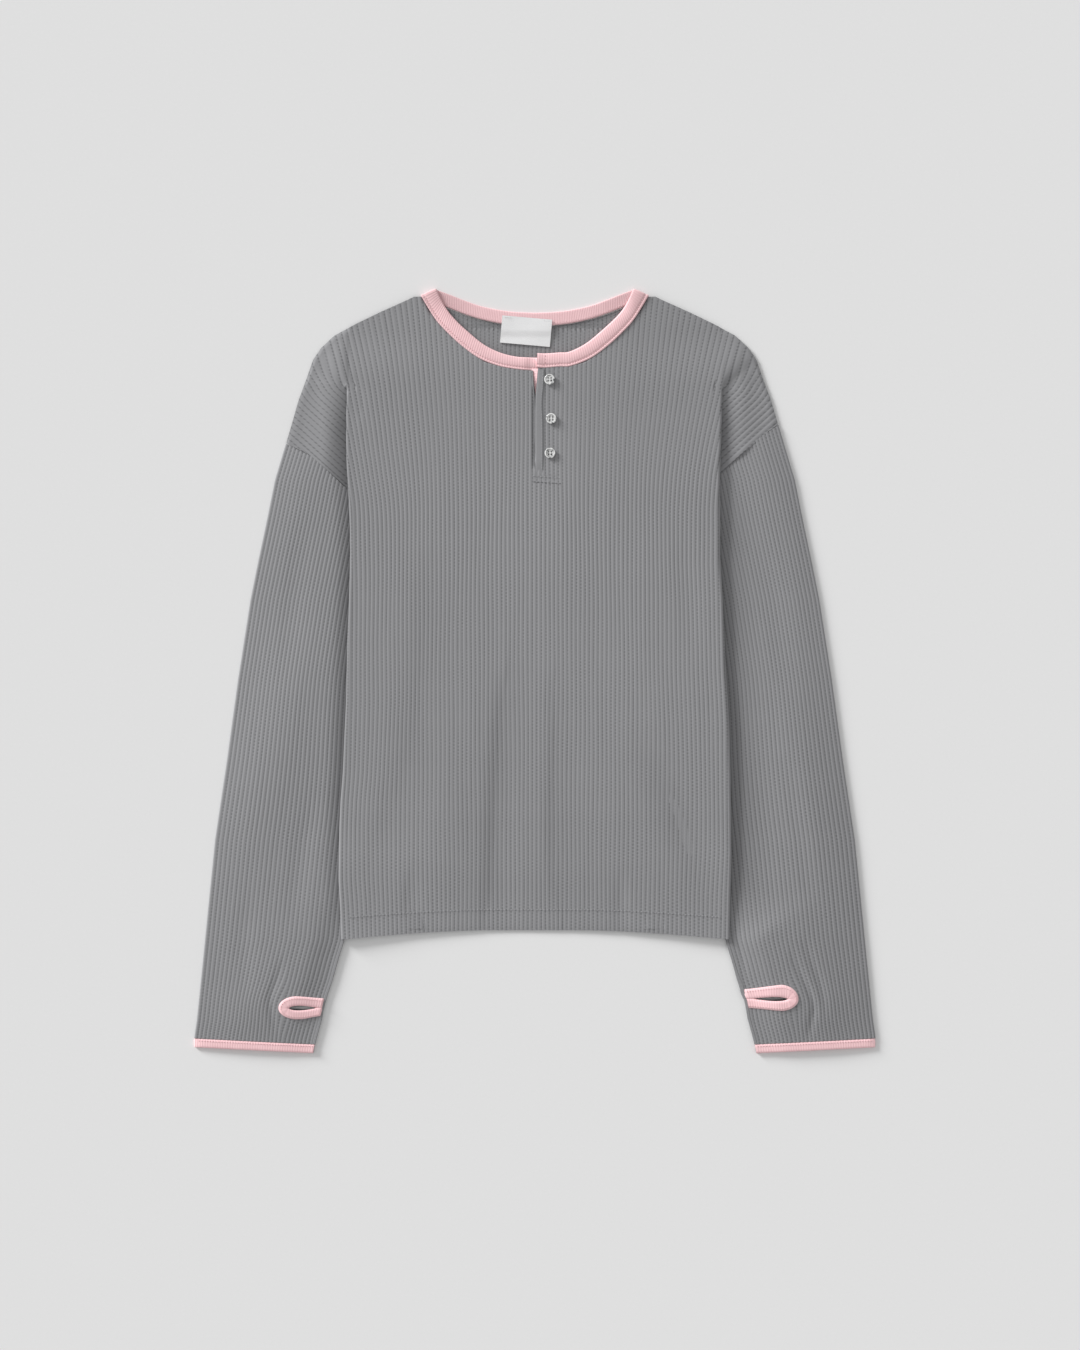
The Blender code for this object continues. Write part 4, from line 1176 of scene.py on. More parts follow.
@dataclass
class Sleeve:
    """A sleeve: a flat ribbed tube from the armhole to the cuff."""

    wardrobe: Wardrobe
    side: Side
    ribs: int = 30
    steps_a_rib: int = 7
    ribbed: float = 0.94
    crown: float = 3.3
    bulge: float = 4.0
    rib_depth: float = 0.40
    face: float = CUT.wall / 2 - 0.15
    parting_y: float = 100.0
    top_y: float = 226.5
    rib_pitch: float = 3.78
    dent: float = 0.45
    below_q: float = 3.06
    fold: float = (STACK.cap - CUT.wall / 2) / 2

    @property
    def lie(self) -> Lie:
        """How this side's sleeve lies."""
        return LIES[self.side]

    def inner(self, y: Array) -> Array:
        """The inner edge, which may dip a little above the thumbhole."""
        return CUT.sleeve_inner(y) + self.lie.dip * bell(y, -290, 9)

    def left(self, y: Array) -> Array:
        """Where the inner edge starts to round."""
        return self.inner(y) + self.fold + CUT.wall / 2

    def right(self, y: Array) -> Array:
        """Where the outer edge starts to round."""
        return CUT.outline(y) - self.fold - CUT.wall / 2

    def pitch(self, y: Array) -> Array:
        """The ribs' spacing, which opens a little down the arm."""
        wide = self.rib_pitch + 0.45 * fall(y, 20, 180)
        return np.minimum(wide, (CUT.outline(y) - CUT.sleeve_inner(y)) / self.ribs)

    def puff(self, x: Array, y: Array) -> Array:
        """How far the top stands up, with soft dents."""
        body = CUT.side_fold(y) + FOLD_SWAY[self.side](y) + self.lie.start
        inner, outer = self.left(y), self.right(y)
        start = body + (inner - body) * fall(y, -232, 30)
        low = 1 - 0.6 * fall(y, -300, 50)
        beside = 1 - fall(y, -205, 45)
        share = np.clip((x - start) / np.maximum(outer - start, 1), 0, 1)
        near = np.clip((x - start) / (30.0 + (self.lie.valley - 30.0) * beside), 0, 1)
        climb = smooth(near)
        climb = climb + self.lie.steep * (1 - (1 - near) ** 3 - climb) * beside
        crown = climb * np.sin(np.pi / 2 * np.clip((outer - x) / 58, 0, 1))
        crown = crown * (1 - self.lie.slack * fall(y, -60, 110))
        dent = self.dent * np.sin(y / 37 + x / 25) * np.sin(np.pi * share)
        puff = (self.crown * np.maximum(crown, 0) + dent) * low
        puff = puff - 0.9 * (1 - rise(x, start, 16)) * beside
        for crease in self.lie.creases:
            puff = puff - crease(self.side.value * x, y) * np.sin(np.pi * share) ** 0.5
        return puff

    def painted_shading(self, q: Array, x: Array, y: Array) -> Array:
        """The painted shade on the sleeve, beside the body's fold and beneath, less painted light
        lower down.
        """
        start = CUT.side_fold(y) + FOLD_SWAY[self.side](y)
        near = 1 - rise(x, start, self.lie.shade_reach)
        low_y, rows = self.lie.shade_rows
        where = rise(y, low_y, rows) * fall(y, CUT.armpit_y + 35, 60)
        pale = self.lie.pale * fall(y, 90, 60)
        # an even painted shade, more beside the fold and beneath, minus the painted light lower down
        return 0.035 + self.lie.painted_shading * near * where - pale + self.lie.beneath * (q > self.below_q)

    def ring(self, q: Array, y: Array, inset: Real = 0.0) -> tuple[Array, Array]:
        """Points round the sleeve.

        Args:
            q: 0 to 1 the outer edge, 1 to 2 the top, 2 to 3 the inner edge, 3 to 4 beneath.
            y: How far up each point is.
            inset: How far inside the cloth's face the points lie.

        Returns:
            Points in millimetres on the right side, and the place across the ribs.
        """
        inner, outer = self.left(y), self.right(y)
        width = self.ribs * self.pitch(y)
        part = np.where(q < 3, np.clip(q - 1, 0, 1), 1 - np.clip(q - 3, 0, 1))
        rest = (outer - width) + (part - self.ribbed) / (1 - self.ribbed) * (inner - outer + width)
        across = np.where(part < self.ribbed, outer - part / self.ribbed * width, rest)
        order = np.minimum(part / self.ribbed, 1) * self.ribs * CUT.rib
        middle = (STACK.cap + CUT.wall / 2) / 2
        places = [q < 1, q < 2, q < 3]
        a, b = math.pi * (1 - np.clip(q, 0, 1)), math.pi * np.clip(q - 2, 0, 1)
        nx = np.select(places, [np.sin(a), 0 * q, -np.sin(b)], 0.0)
        nz = np.select(places, [np.cos(a), 0 * q + 1, np.cos(b)], -1.0)
        edge_z = middle + self.fold * nz
        x = np.select(places, [outer + self.fold * nx, across, inner + self.fold * nx], across)
        z = np.select(places, [edge_z, STACK.cap + self.puff(across, y), edge_z], CUT.wall / 2)
        depth = self.rib_depth * (1 - self.lie.low_ribs * fall(y, -110, 80))
        ribs = rib_profile(order, depth)
        move = ribs - inset + np.where(q < 3, self.face, CUT.wall / 2 - depth)
        return at(x + nx * move, y, np.maximum(z + nz * move, 0.0)), order

    def columns(self) -> Array:
        """The places round the sleeve where columns of points run."""
        ribbed_q = 1 + self.ribbed
        return np.concatenate([
            np.linspace(0, 1, 9)[:-1], np.linspace(1, ribbed_q, self.ribs * self.steps_a_rib + 1),
            np.linspace(ribbed_q, 2, 8)[1:], np.linspace(2, 3, 9)[1:],
            np.linspace(3, self.below_q, 8)[1:],
            np.linspace(self.below_q, 4, self.ribs * 5 + 1)[1:],
        ])

    def top_of(self, q: Array) -> Array:
        """How far up each column reaches before the armhole."""
        y = np.arange(CUT.armpit_y, self.top_y, 0.25)
        points, _ = self.ring(*np.broadcast_arrays(q[:, None], y))
        inside = points[..., 0] >= CUT.armhole_x(self.side, y) + 0.3
        inside[(q > 2) & (q < 3)] = False
        tops = y[np.maximum(np.argmin(inside, axis=1) - 1, 0)]
        return np.where(inside.all(axis=1), y[-1], tops)

    def pinched(self, q: Array, points: Array) -> Array:
        """Points moved to shut the thumbhole's slit and swell round its end.

        Args:
            q: The places round the sleeve.
            points: The points at those places.

        Returns:
            The moved points, on the right side.
        """
        hole = THUMBHOLES[self.side]
        x, y, _ = np.moveaxis(points, -1, 0)
        away = y - hole.middle_y
        shut = smooth((self.inner(y) + 11 - x) / 6)
        pinch = np.minimum(1 - 0.8 * smooth(q - 2.6), 1 - 0.96 * shut)
        near = 1 - smooth((np.abs(away) - hole.height / 2) / 8)
        close = away * (pinch - 1) * near
        swell = bell(away, 0, 26) * rise(x, hole.slit_x, 8)
        swell = self.bulge * swell * (1 - rise(x, hole.far_x, 45))
        slope = (self.inner(y + 3) - self.inner(y - 3)) / 6
        x = x + swell + close * slope * shut * near
        tilt = CUT.cuff_rise(x) * fall(y, CUT.cuff_seam_y + 25, 25)
        return at(x, y + close + tilt, points[..., 2])

    def build(self) -> None:
        """Makes the sleeve in place of its solid."""
        cloth = ClothMesh(f"sleeve_{self.side.word}_cloth")
        hole = THUMBHOLES[self.side]
        low, high = hole.middle_y - hole.height / 2, hole.middle_y + hole.height / 2
        columns = self.columns()
        rows = np.concatenate([
            np.linspace(CUT.cuff_seam_y, low, 8), np.linspace(low, high, 3)[1:],
            np.linspace(high, self.parting_y, 84)[1:],
        ])
        in_slit = (rows[:-1] >= low - 0.01) & (rows[1:] <= high + 0.01)
        above_y = np.linspace(0, 1, 26)[:, None] * (self.top_of(columns) - self.parting_y)
        for above, (y, place) in enumerate((
            (rows[:, None], (0.0, 0.0, 1.0, 0.78)),
            (self.parting_y + above_y, (0.0, 0.80, 1.0, 0.19)),
        )):
            y, q = np.broadcast_arrays(y, columns)
            points, order = self.ring(q, y)
            keep = None
            if not above:
                keep = ~(in_slit[:, None] & (points[:-1, :-1, 0] < hole.slit_x))
            moved = self.pinched(q, points)
            dim = self.painted_shading(q, moved[..., 0], y)
            cloth.grid(self.side.turn(moved), at(order, y), place, keep,
                       self.side is Side.RIGHT, dim)
        piece = cloth.build(self.wardrobe.knit, 0.0)
        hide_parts(f"sleeve_{self.side.word}")


# ---------------------------------------------------------------- trims


def loft(
    name: str, rings: Array, own: Array, finish: Finish, dim: Real = 0.0
) -> bpy.types.Object:
    """A tube of rings of points.

    Args:
        name: The piece's name.
        rings: Rings by points by 3, in millimetres.
        own: The cloth's coordinates, rings by points by 2.
        finish: The finish that dresses it.
        dim: Painted shade that makes the colour darker.

    Returns:
        The new piece.
    """
    rings, own = (np.concatenate([part, part[:, :1]], axis=1) for part in (rings, own))
    cloth = ClothMesh(name)
    cloth.grid(rings, own, dim=dim)
    piece = cloth.build(finish)
    work = bmesh.new()
    work.from_mesh(piece.data)
    bmesh.ops.holes_fill(work, edges=[e for e in work.edges if e.is_boundary], sides=0)
    bmesh.ops.recalc_face_normals(work, faces=work.faces)
    work.to_mesh(piece.data)
    work.free()
    return piece


def curve_through(rows: Sequence[Sequence[float]], count: int = 9) -> Array:
    """Points on a smooth curve through a few rows of numbers."""
    rows = np.array(rows, float)
    last = len(rows) - 1
    made = []
    for n in range(last):
        a, b, c, d = (rows[min(max(m, 0), last)] for m in range(n - 1, n + 3))
        for t in np.arange(count) / count:
            made.append(0.5 * (2 * b + (c - a) * t + (2 * a - 5 * b + 4 * c - d) * t**2
                               + (3 * b - a - 3 * c + d) * t**3))
    return np.array(made + [rows[-1]])


@dataclass
class Stitches:
    """A line of small thread stitches along a path."""

    name: str
    length: float = 2.0
    gap: float = 0.7
    thread: float = 0.32
    swell: tuple[float, ...] = (0.35, 1.0, 1.1, 1.0, 0.35)
    sink: tuple[float, ...] = (-0.35, 0.05, 0.12, 0.05, -0.35)

    def build(self, path: Array, finish: Finish) -> None:
        """Makes the stitches as one joined piece.

        Args:
            path: Points by 3 in millimetres.
            finish: The thread.
        """
        along = lengths(path)
        cloth = ClothMesh(self.name)
        around = np.linspace(0, 2 * math.pi, 7)[:, None]
        swell = np.array(self.swell)[:, None, None] * self.thread
        sink = np.array(self.sink)[:, None, None]
        for start in np.arange(0.3, along[-1] - self.length, self.length + self.gap):
            places = start + np.linspace(0, 1, 5) * self.length
            middle = at(*(np.interp(places, along, path[:, k]) for k in range(3)))
            ahead = middle[-1] - middle[0]
            ahead = ahead / np.linalg.norm(ahead)
            across = np.array([-ahead[1], ahead[0], 0.0])
            across = across / np.linalg.norm(across)
            up = np.cross(ahead, across)
            ring = middle[:, None] + up * sink
            ring = ring + swell * (across * np.cos(around) + up * np.sin(around))
            cloth.grid(ring, 0 * ring[..., :2], flip=True)
        cloth.build(finish, weld=0.001)


BINDING_FRONT = (
    # inner_x, inner_y, outer_x, outer_y
    (17.3, 290.3, 17.3, 277.8), (32.0, 294.0, 33.0, 280.6), (46.7, 301.3, 50.6, 287.4),
    (61.5, 313.3, 66.2, 298.4), (76.2, 327.1, 81.0, 312.0), (84.2, 338.1, 92.4, 325.0),
    (90.1, 350.9, 104.6, 344.8),
)
BINDING_ENDS = {
    Side.LEFT: ((-9.0, 289.3, -9.0, 276.8), (-3.0, 289.3, -3.0, 276.7),
                (4.0, 289.5, 4.0, 276.7)),
    Side.RIGHT: ((2.3, 292.5, 1.7, 279.4), (10.0, 292.3, 9.6, 279.0),
                 (22.7, 293.2, 22.7, 280.0)),
}
BINDING_BACK = (
    (90.1, 350.9, 104.6, 344.8), (79.0, 346.8, 80.0, 334.6), (61.5, 340.0, 61.5, 327.4),
    (46.7, 335.3, 44.0, 322.4), (24.0, 331.2, 24.0, 318.9), (0.0, 329.8, 0.0, 317.8),
)


@dataclass
class NeckBinding:
    """The pink strip round the neck, folded over at the shoulders' tips."""

    wardrobe: Wardrobe
    front_floor: float = 2.65
    back_floor: float = 0.05
    thick: float = 2.0
    width: float = 12.5
    seam: float = 0.80
    tip: tuple[float, float] = (0.2, 0.5)

    def profile(self) -> Array:
        """The strip's cross-section: share of its width and of its thickness."""
        lower = [(s, 0.0) for s in np.linspace(0.98, 0.08, 8)]
        nose = [(0.08 - 0.08 * math.sin(a), 0.5 - 0.5 * math.cos(a))
                for a in np.linspace(0.4, math.pi - 0.4, 5)]
        s = np.linspace(0.08, 0.95, 22)
        crown = 1.0 + 0.30 * np.sin(math.pi * np.minimum(s / 0.82, 1.0))
        upper = at(s, crown - 0.22 * bell(s, self.seam, 0.045))
        return np.array(lower + nose + list(upper) + [(0.985, 0.80), (0.99, 0.4)])

    def across(self, edges: Sequence[float]) -> tuple[Array, Array, Array]:
        """The strip's X and Y between its edges at a place, and how high it stands."""
        share, height = self.profile().T
        ix, iy, ox, oy = edges
        return ix + share * (ox - ix), iy + share * (oy - iy), height * self.thick

    def rows(self, side: Side) -> Array:
        """The front strip's edges from the placket to the shoulder's tip."""
        front = BINDING_FRONT[1:] if side is Side.RIGHT else BINDING_FRONT
        return curve_through(BINDING_ENDS[side] + front)

    def lift(self, side: Side, x: Real) -> Array:
        """How far an end stands off the front: the right one lies over the left one."""
        return (1 - rise(x, 3, 7)) * (0.6 if side is Side.RIGHT else -0.9)

    def half(self, side: Side) -> tuple[Array, Array]:
        """One half's rings from the placket to the back's middle, and their runs."""
        rings = []
        for edges in self.rows(side):
            if side is Side.LEFT:
                edges[1] -= 0.9 * (1 - rise(edges[0], 66, 16))
            x, y, height = self.across(edges)
            rings.append(at(x, y, self.front_floor + self.lift(side, edges[0]) + height))
        x, y, height = self.across(BINDING_FRONT[-1])
        middle = (self.front_floor + self.back_floor + self.thick) / 2
        radius = (self.front_floor - self.back_floor - self.thick) / 2 + height
        for a in np.linspace(0, math.pi, 7)[1:-1]:
            out = radius * math.sin(a)
            z = np.maximum(middle + radius * math.cos(a), 0.0)
            rings.append(at(x + self.tip[0] * out, y + self.tip[1] * out, z))
        for edges in curve_through(BINDING_BACK):
            x, y, height = self.across(edges)
            rings.append(at(x, y, np.maximum(self.back_floor + self.thick - height, 0.0)))
        rings = np.array(rings)
        return rings, lengths(rings.mean(axis=1))

    def build(self) -> None:
        """Makes the binding in place of its solid, with its stitches."""
        left, left_runs = self.half(Side.LEFT)
        right, right_runs = self.half(Side.RIGHT)
        whole = left_runs[-1] + right_runs[-1]
        every = np.concatenate([Side.LEFT.turn(left[:-1]), right[::-1]])
        runs = np.concatenate([left_runs[:-1], whole - right_runs[::-1]])
        own = at(self.profile()[:, 0] * self.width, runs[:, None])
        x, _, z = np.abs(every.mean(axis=1)).T
        # painted shade on the back strip, darker towards the shoulders and at their tips
        painted_shading = (0.06 + 0.17 * rise(x, 45, 40)) * fall(z, 4.0, 2.0)
        painted_shading = np.maximum(painted_shading, 0.16 * rise(x, 86, 8))
        piece = loft("neck_binding_cloth", every, own, self.wardrobe.binding, painted_shading[:, None])
        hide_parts("neck_binding")
        self.stitch()

    def stitch(self) -> None:
        """Adds the topstitching near the sewn edge, front and back, and the end's tack."""
        for side in Side:
            for where, rows in (("front", self.rows(side)[6:]), ("back", curve_through(BINDING_BACK))):
                ix, iy, ox, oy = rows.T
                floor = self.back_floor
                if where == "front":
                    floor = self.front_floor + self.lift(side, ix)
                line = at(ix + self.seam * (ox - ix), iy + self.seam * (oy - iy),
                          floor + 0.86 * self.thick)
                Stitches(f"neck_stitches_{where}_{side.word}").build(
                    side.turn(line), self.wardrobe.pink_thread)
        down = np.linspace(0.08, 0.92, 12)
        height = self.front_floor + self.lift(Side.RIGHT, 9.4) + self.thick + 0.14
        tack = at(9.8 - 0.4 * down, 292.2 - 13.0 * down,
                  height + 0.26 * np.sin(math.pi * np.minimum(down / 0.82, 1)))
        Stitches("neck_tack", 2.6, 0.3, 0.2).build(tack, self.wardrobe.seam_thread)


@dataclass
class Placket:
    """The placket: its band, underlap, box stitch and buttons."""

    wardrobe: Wardrobe
    front: Front
    band: tuple[float, ...] = (0.6, 7.9, 179.5, 277.5)
    underlap: tuple[float, ...] = (-4.5, 26.0, 177.0, 278.4)
    tip: float = 249.0
    tuck: float = 0.3
    buttons: tuple[tuple[str, float, float], ...] = (
        ("button_1", 13.6, 268.2), ("button_2", 15.1, 232.3), ("button_3", 14.0, 200.6),
    )

    def face(self, x: float, y: float) -> float:
        """The height of the front's face under a trim."""
        side = Side.RIGHT if x >= 0 else Side.LEFT
        return float(self.front.surface(side, np.array(abs(x)), np.array(float(y))))

    def build(self) -> None:
        """Makes the placket's pieces."""
        self.add_band()
        self.add_underlap()
        self.add_box_stitch()
        for name, x, y in self.buttons:
            Button(self.wardrobe, name, x, y, self.face(x, y)).build()

    def add_band(self) -> None:
        """Makes the band on the overlap's edge."""
        _, _, y0, y1 = self.band
        rings = []
        for y in np.linspace(y0, y1, 48):
            left, right = self.band_edges(y)
            z = self.face(3, y) - 0.35
            share = np.linspace(0, 1, 14)
            foot = 0.2 + 0.8 * rise(y, y0, 14)
            crown = foot * (0.5 + 0.45 * share) * (1 - np.abs(2 * share - 1) ** 12) ** 0.5
            top = at(left + share * (right - left), y, z + crown)
            rings.append(np.concatenate([top, [(right, y, z - self.tuck), (left, y, z - self.tuck)]]))
        rings = np.array(rings)
        piece = loft("placket_band_cloth", rings, rings[..., :2], self.wardrobe.jersey)
        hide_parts("placket_band")
        line = np.array([(self.band_edges(y)[1] - 1.3, y, self.face(3, y) + 0.42)
                         for y in np.linspace(y0 + 6, y1 - 1, 60)])
        Stitches("band_stitches", 1.9, 0.7, 0.22).build(line, self.wardrobe.thread)

    def band_edges(self, y: float) -> tuple[float, float]:
        """The band's edges at a height; it narrows towards the neck."""
        top = float(rise(y, 248, 28))
        bend = 0.8 * float(bell(y, 246, 11))
        return self.band[0] + 2.5 * top, self.band[1] + 1.0 * top - bend

    def add_underlap(self) -> None:
        """Makes the pink underlap that shows at the slit's top, and the grey part below."""
        x0, x1, y0, y1 = self.underlap
        for name, low, top, finish in (
            ("placket_underlap_cloth", self.tip, 0.35, self.wardrobe.binding),
            ("placket_underlap_lower", y0, 0.0, self.wardrobe.jersey),
        ):
            y = np.linspace(low, y1, 24)[:, None]
            left = x0 + 0 * y
            if low == self.tip:
                left = 1.3 - 4.6 * np.clip((y - low) / (y1 - low), 0, 1) ** 1.25
            face = 1.9 + top + 1.5 * rise(y, 252, 22)
            x = np.concatenate([left, left, x1 + 0 * y, x1 + 0 * y], axis=1)
            rings = at(x, y, face - np.array([0.7, 0.0, 0.0, 0.7]))
            piece = loft(name, rings, rings[..., :2], finish)
            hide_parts("placket_underlap")

    def add_box_stitch(self) -> None:
        """Makes the two stitch lines across the placket's foot."""
        # the lower line's darker thread is painted shade
        for n, (y, width, finish) in enumerate((
            (179.4, 0.24, self.wardrobe.thread), (174.2, 0.38, self.wardrobe.shaded_thread),
        )):
            line = np.array([(x, y - 0.07 * x, self.face(x, y) - 0.06)
                             for x in np.linspace(-2.4, 25.0, 34)])
            Stitches(f"box_stitches_{n + 1}", 3.2, 0.15, width).build(line, finish)


@dataclass
class Button:
    """A four-hole button with a raised rim, sewn on with two bars of thread."""

    wardrobe: Wardrobe
    name: str
    x: float
    y: float
    floor: float
    holes: float = 0.72
    spread: float = 1.4
    drill: float = 6.0
    profile: tuple[tuple[float, float], ...] = (
        # radius, height
        (0.02, 1.55), (2.7, 1.60), (3.3, 1.72), (3.8, 1.98), (4.2, 2.05), (4.6, 1.98),
        (4.9, 1.72), (5.0, 1.4), (4.9, 0.9), (4.4, 0.45), (3.2, 0.1), (0.02, 0.05),
    )

    def build(self) -> None:
        """Makes the button in place of its solid."""
        turn = np.linspace(0, 2 * math.pi, 49)[:-1]
        radius, height = np.array(self.profile[::-1]).T[..., None]
        rings = at(self.x + radius * np.cos(turn), self.y + radius * np.sin(turn),
                   self.floor + 0.1 + height)
        piece = loft(f"{self.name}_resin", rings, rings[..., :2], self.wardrobe.pearl)
        cutters = []
        for sx, sy in ((-1, -1), (-1, 1), (1, -1), (1, 1)):
            middle = (self.x + sx * self.spread, self.y + sy * self.spread, self.floor + 1.2)
            bpy.ops.mesh.primitive_cylinder_add(
                vertices=20, radius=self.holes * MM, depth=self.drill * MM,
                location=[part * MM for part in middle])
            cutters.append(bpy.context.object)
            cut = piece.modifiers.new("hole", "BOOLEAN")
            cut.object, cut.operation = bpy.context.object, "DIFFERENCE"
        solid = bpy.data.meshes.new_from_object(
            piece.evaluated_get(bpy.context.evaluated_depsgraph_get()))
        piece.modifiers.clear()
        piece.data = solid
        solid.shade_smooth()
        solid.set_sharp_from_angle(angle=math.radians(40))
        for cutter in cutters:
            bpy.data.objects.remove(cutter, do_unlink=True)
        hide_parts(self.name)
        self.sew()

    def sew(self) -> None:
        """Adds the two parallel thread bars through the holes."""
        share = np.linspace(-1, 1, 9)
        for n, sx in enumerate((-1, 1)):
            path = at(self.x + sx * self.spread, self.y + share * self.spread,
                      self.floor + 1.58 + 0.22 * (1 - share**4) - 0.5 * share**8)
            Stitches(f"{self.name}_thread_{n + 1}", 2.8, 1.0, 0.14).build(
                np.concatenate([path[:1] - [0, 0.3, 0.2], path, path[-1:] + [0, 0.6, -0.2]]),
                self.wardrobe.dark_thread)


@dataclass
class CuffBinding:
    """The pink band round a sleeve's end."""

    wardrobe: Wardrobe
    sleeve: Sleeve

    def build(self) -> None:
        """Makes the binding in place of its solid."""
        side = self.sleeve.side
        q = np.concatenate([np.linspace(0, 1, 9)[:-1], np.linspace(1, 2, 60)[:-1],
                            np.linspace(2, 3, 9)[:-1], np.linspace(3, 4, 60)])
        y = np.concatenate([CUT.cuff_y + np.array([4.0, 0.35, 0.1, 0.0, 0.1, 0.4]),
                            np.linspace(CUT.cuff_y + 1, CUT.cuff_seam_y - 0.3, 9)])
        inset = np.concatenate([[1.0, 1.0, 0.8, 0.5, 0.2, 0.05], np.zeros(9)])[:, None]
        grid_y, grid_q = np.meshgrid(y, q, indexing="ij")
        points, _ = Sleeve(self.wardrobe, side, rib_depth=0.0).ring(grid_q, grid_y, inset)
        share = np.clip((grid_y - CUT.cuff_y) / (y[-1] - CUT.cuff_y), 0, 1)
        swell = 0.55 * (1 - np.abs(2 * share - 1) ** 5) * (inset < 0.1)
        swell = swell * rise(grid_q, 1, 0.05) * fall(grid_q, 2, 0.05)
        points[..., 2] += np.where(points[..., 2] > 1.3, swell, 0)
        points[..., 1] += CUT.cuff_rise(points[..., 0])
        points = side.turn(points)
        cloth = ClothMesh(f"cuff_binding_{side.word}_cloth")
        cloth.grid(points, at(grid_y, lengths(points[9])), flip=side is Side.RIGHT)
        piece = cloth.build(self.wardrobe.binding)
        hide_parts(f"cuff_binding_{side.word}")
        line = points[12][(q > 1.0) & (q < 1.97)] + [0, 0, 0.1]
        Stitches(f"cuff_stitches_{side.word}", 1.9, 0.7, 0.26).build(
            line, self.wardrobe.pink_thread)


@dataclass
class ThumbholeBinding:
    """The pink band round a thumbhole, pressed shut where it meets the sleeve's edge."""

    wardrobe: Wardrobe
    sleeve: Sleeve
    thick: float = 1.3
    width: float = 9.0
    reach: float = 7.0

    def build(self) -> None:
        """Makes the binding in place of its solid."""
        side = self.sleeve.side
        shape = [(s, 0.0) for s in np.linspace(1.0, 0.0, 5)]
        shape += [(s, (1 - abs(2 * s - 1) ** 4) ** 0.55) for s in np.linspace(0.02, 0.98, 14)]
        rings = side.turn(np.array([
            [self.lay(ax + s * (bx - ax), ay + s * (by - ay), h) for s, h in shape]
            for ax, ay, bx, by in self.edges()
        ]))
        own = at(np.array(shape)[:, 0] * self.width, lengths(rings[:, 8])[:, None])
        piece = loft(f"thumbhole_binding_{side.word}_cloth", rings, own, self.wardrobe.binding)
        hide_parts(f"thumbhole_binding_{side.word}")
        Stitches(f"thumbhole_stitches_{side.word}", 1.8, 0.7, 0.24).build(
            rings[:, 15] + [0, 0, 0.06], self.wardrobe.pink_thread)

    def edges(self) -> list[tuple[float, float, float, float]]:
        """The band's inner and outer edges, from one arm's end round to the other's."""
        hole = THUMBHOLES[self.sleeve.side]
        middle, centre = hole.middle_y, hole.slit_x - self.reach
        long = hole.far_x - centre
        arms = []
        for sign, swell, end, begin in zip((1, -1), hole.swell, hole.end, hole.taper_from):
            arm = []
            for t in np.linspace(0, 1, 30) ** 1.3:
                half = hole.gap * math.sin(math.pi * min(t / 0.84, 1.0) ** 0.66) ** 0.9
                half += 0.02 - 0.6 * float(rise(t, 0.72, 0.28))
                rim = hole.band + swell
                x, rim_x = (self.along(middle + sign * away, t) for away in (half, rim))
                taper = float(np.clip((t - begin) / (0.98 - begin), 0, 1))
                taper = 0.6 * taper + 0.4 * float(smooth(taper))
                away = rim * math.sqrt(1 - float(np.clip((rim_x - centre) / long, 0, 1)) ** 2)
                away -= (swell - end) * taper
                arm.append((x, middle + sign * half, rim_x, middle + sign * away))
            arms.append(arm)
        turn = []
        limit = math.acos(self.reach / long)
        for a in np.linspace(limit, -limit, 25)[1:-1]:
            rim = hole.band + hole.swell[0 if a > 0 else 1]
            turn.append((hole.slit_x + 0.5 * math.cos(a), middle + 0.02 * math.sin(a),
                         centre + long * math.cos(a), middle + rim * math.sin(a)))
        return arms[0][::-1] + turn + arms[1]

    def along(self, y: float, t: float) -> float:
        """X from the slit's end out to the binding's end by the edge, as t goes from 0 to 1."""
        hole = THUMBHOLES[self.sleeve.side]
        start = float(self.sleeve.inner(y)) - hole.wrap
        return start + (hole.slit_x - start) * (1 - t)

    def lay(self, x: float, y: float, height: float) -> tuple[float, float, float]:
        """A point of the band on the sleeve, wrapped round the sleeve's edge."""
        inner = float(self.sleeve.inner(y))
        radius = self.sleeve.fold + CUT.wall / 2
        stand = 0.25 + self.thick * height
        if x >= inner + radius:
            top = STACK.cap + self.sleeve.face + self.sleeve.puff(np.array(x), np.array(y))
            return x, y, float(top) + stand
        angle = min((inner + radius - x) / radius, 2.4)
        r = radius + stand * (1 - 0.85 * min(angle, 1.0))
        return inner + radius - r * math.sin(angle), y, max(radius + r * math.cos(angle), 0.05)


@dataclass
class Label:
    """The blank neck label with its corner stitches."""

    wardrobe: Wardrobe
    size: tuple[float, float] = (46.0, 25.0)
    centre: tuple[float, float] = (-8.0, 312.9)
    tilt: float = math.radians(-5.0)
    floor: float = 3.1
    sag: float = 0.9
    sag_y: float = 314.4

    def lay(self, u: Array, v: Array) -> tuple[Array, Array]:
        """Where a place on the label lies."""
        cos, sin = math.cos(self.tilt), math.sin(self.tilt)
        return self.centre[0] + u * cos - v * sin, self.centre[1] + u * sin + v * cos

    def build(self) -> None:
        """Makes the label in place of its solid."""
        across, down = (np.linspace(-0.5, 0.5, n) * s for n, s in zip((40, 30), self.size))
        v, u = np.meshgrid(down, across, indexing="ij")
        x, y = self.lay(u, v)
        z = self.floor - self.sag * fall(y, self.sag_y, 8) + 0.25 * np.sin(x / 9) * np.sin(y / 7)
        cloth = ClothMesh("neck_label_cloth")
        cloth.grid(at(x, y, z), at(u, v))
        piece = cloth.build(self.wardrobe.satin, 0.5)
        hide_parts("neck_label")
        for n, sign in enumerate((-1, 1)):
            u = np.linspace(-0.46, -0.30, 8) * self.size[0] * sign
            line = at(*self.lay(u, 0.44 * self.size[1]), self.floor + 0.2)
            Stitches(f"label_stitches_{n + 1}", 1.6, 0.5, 0.2).build(
                line, self.wardrobe.white_thread)


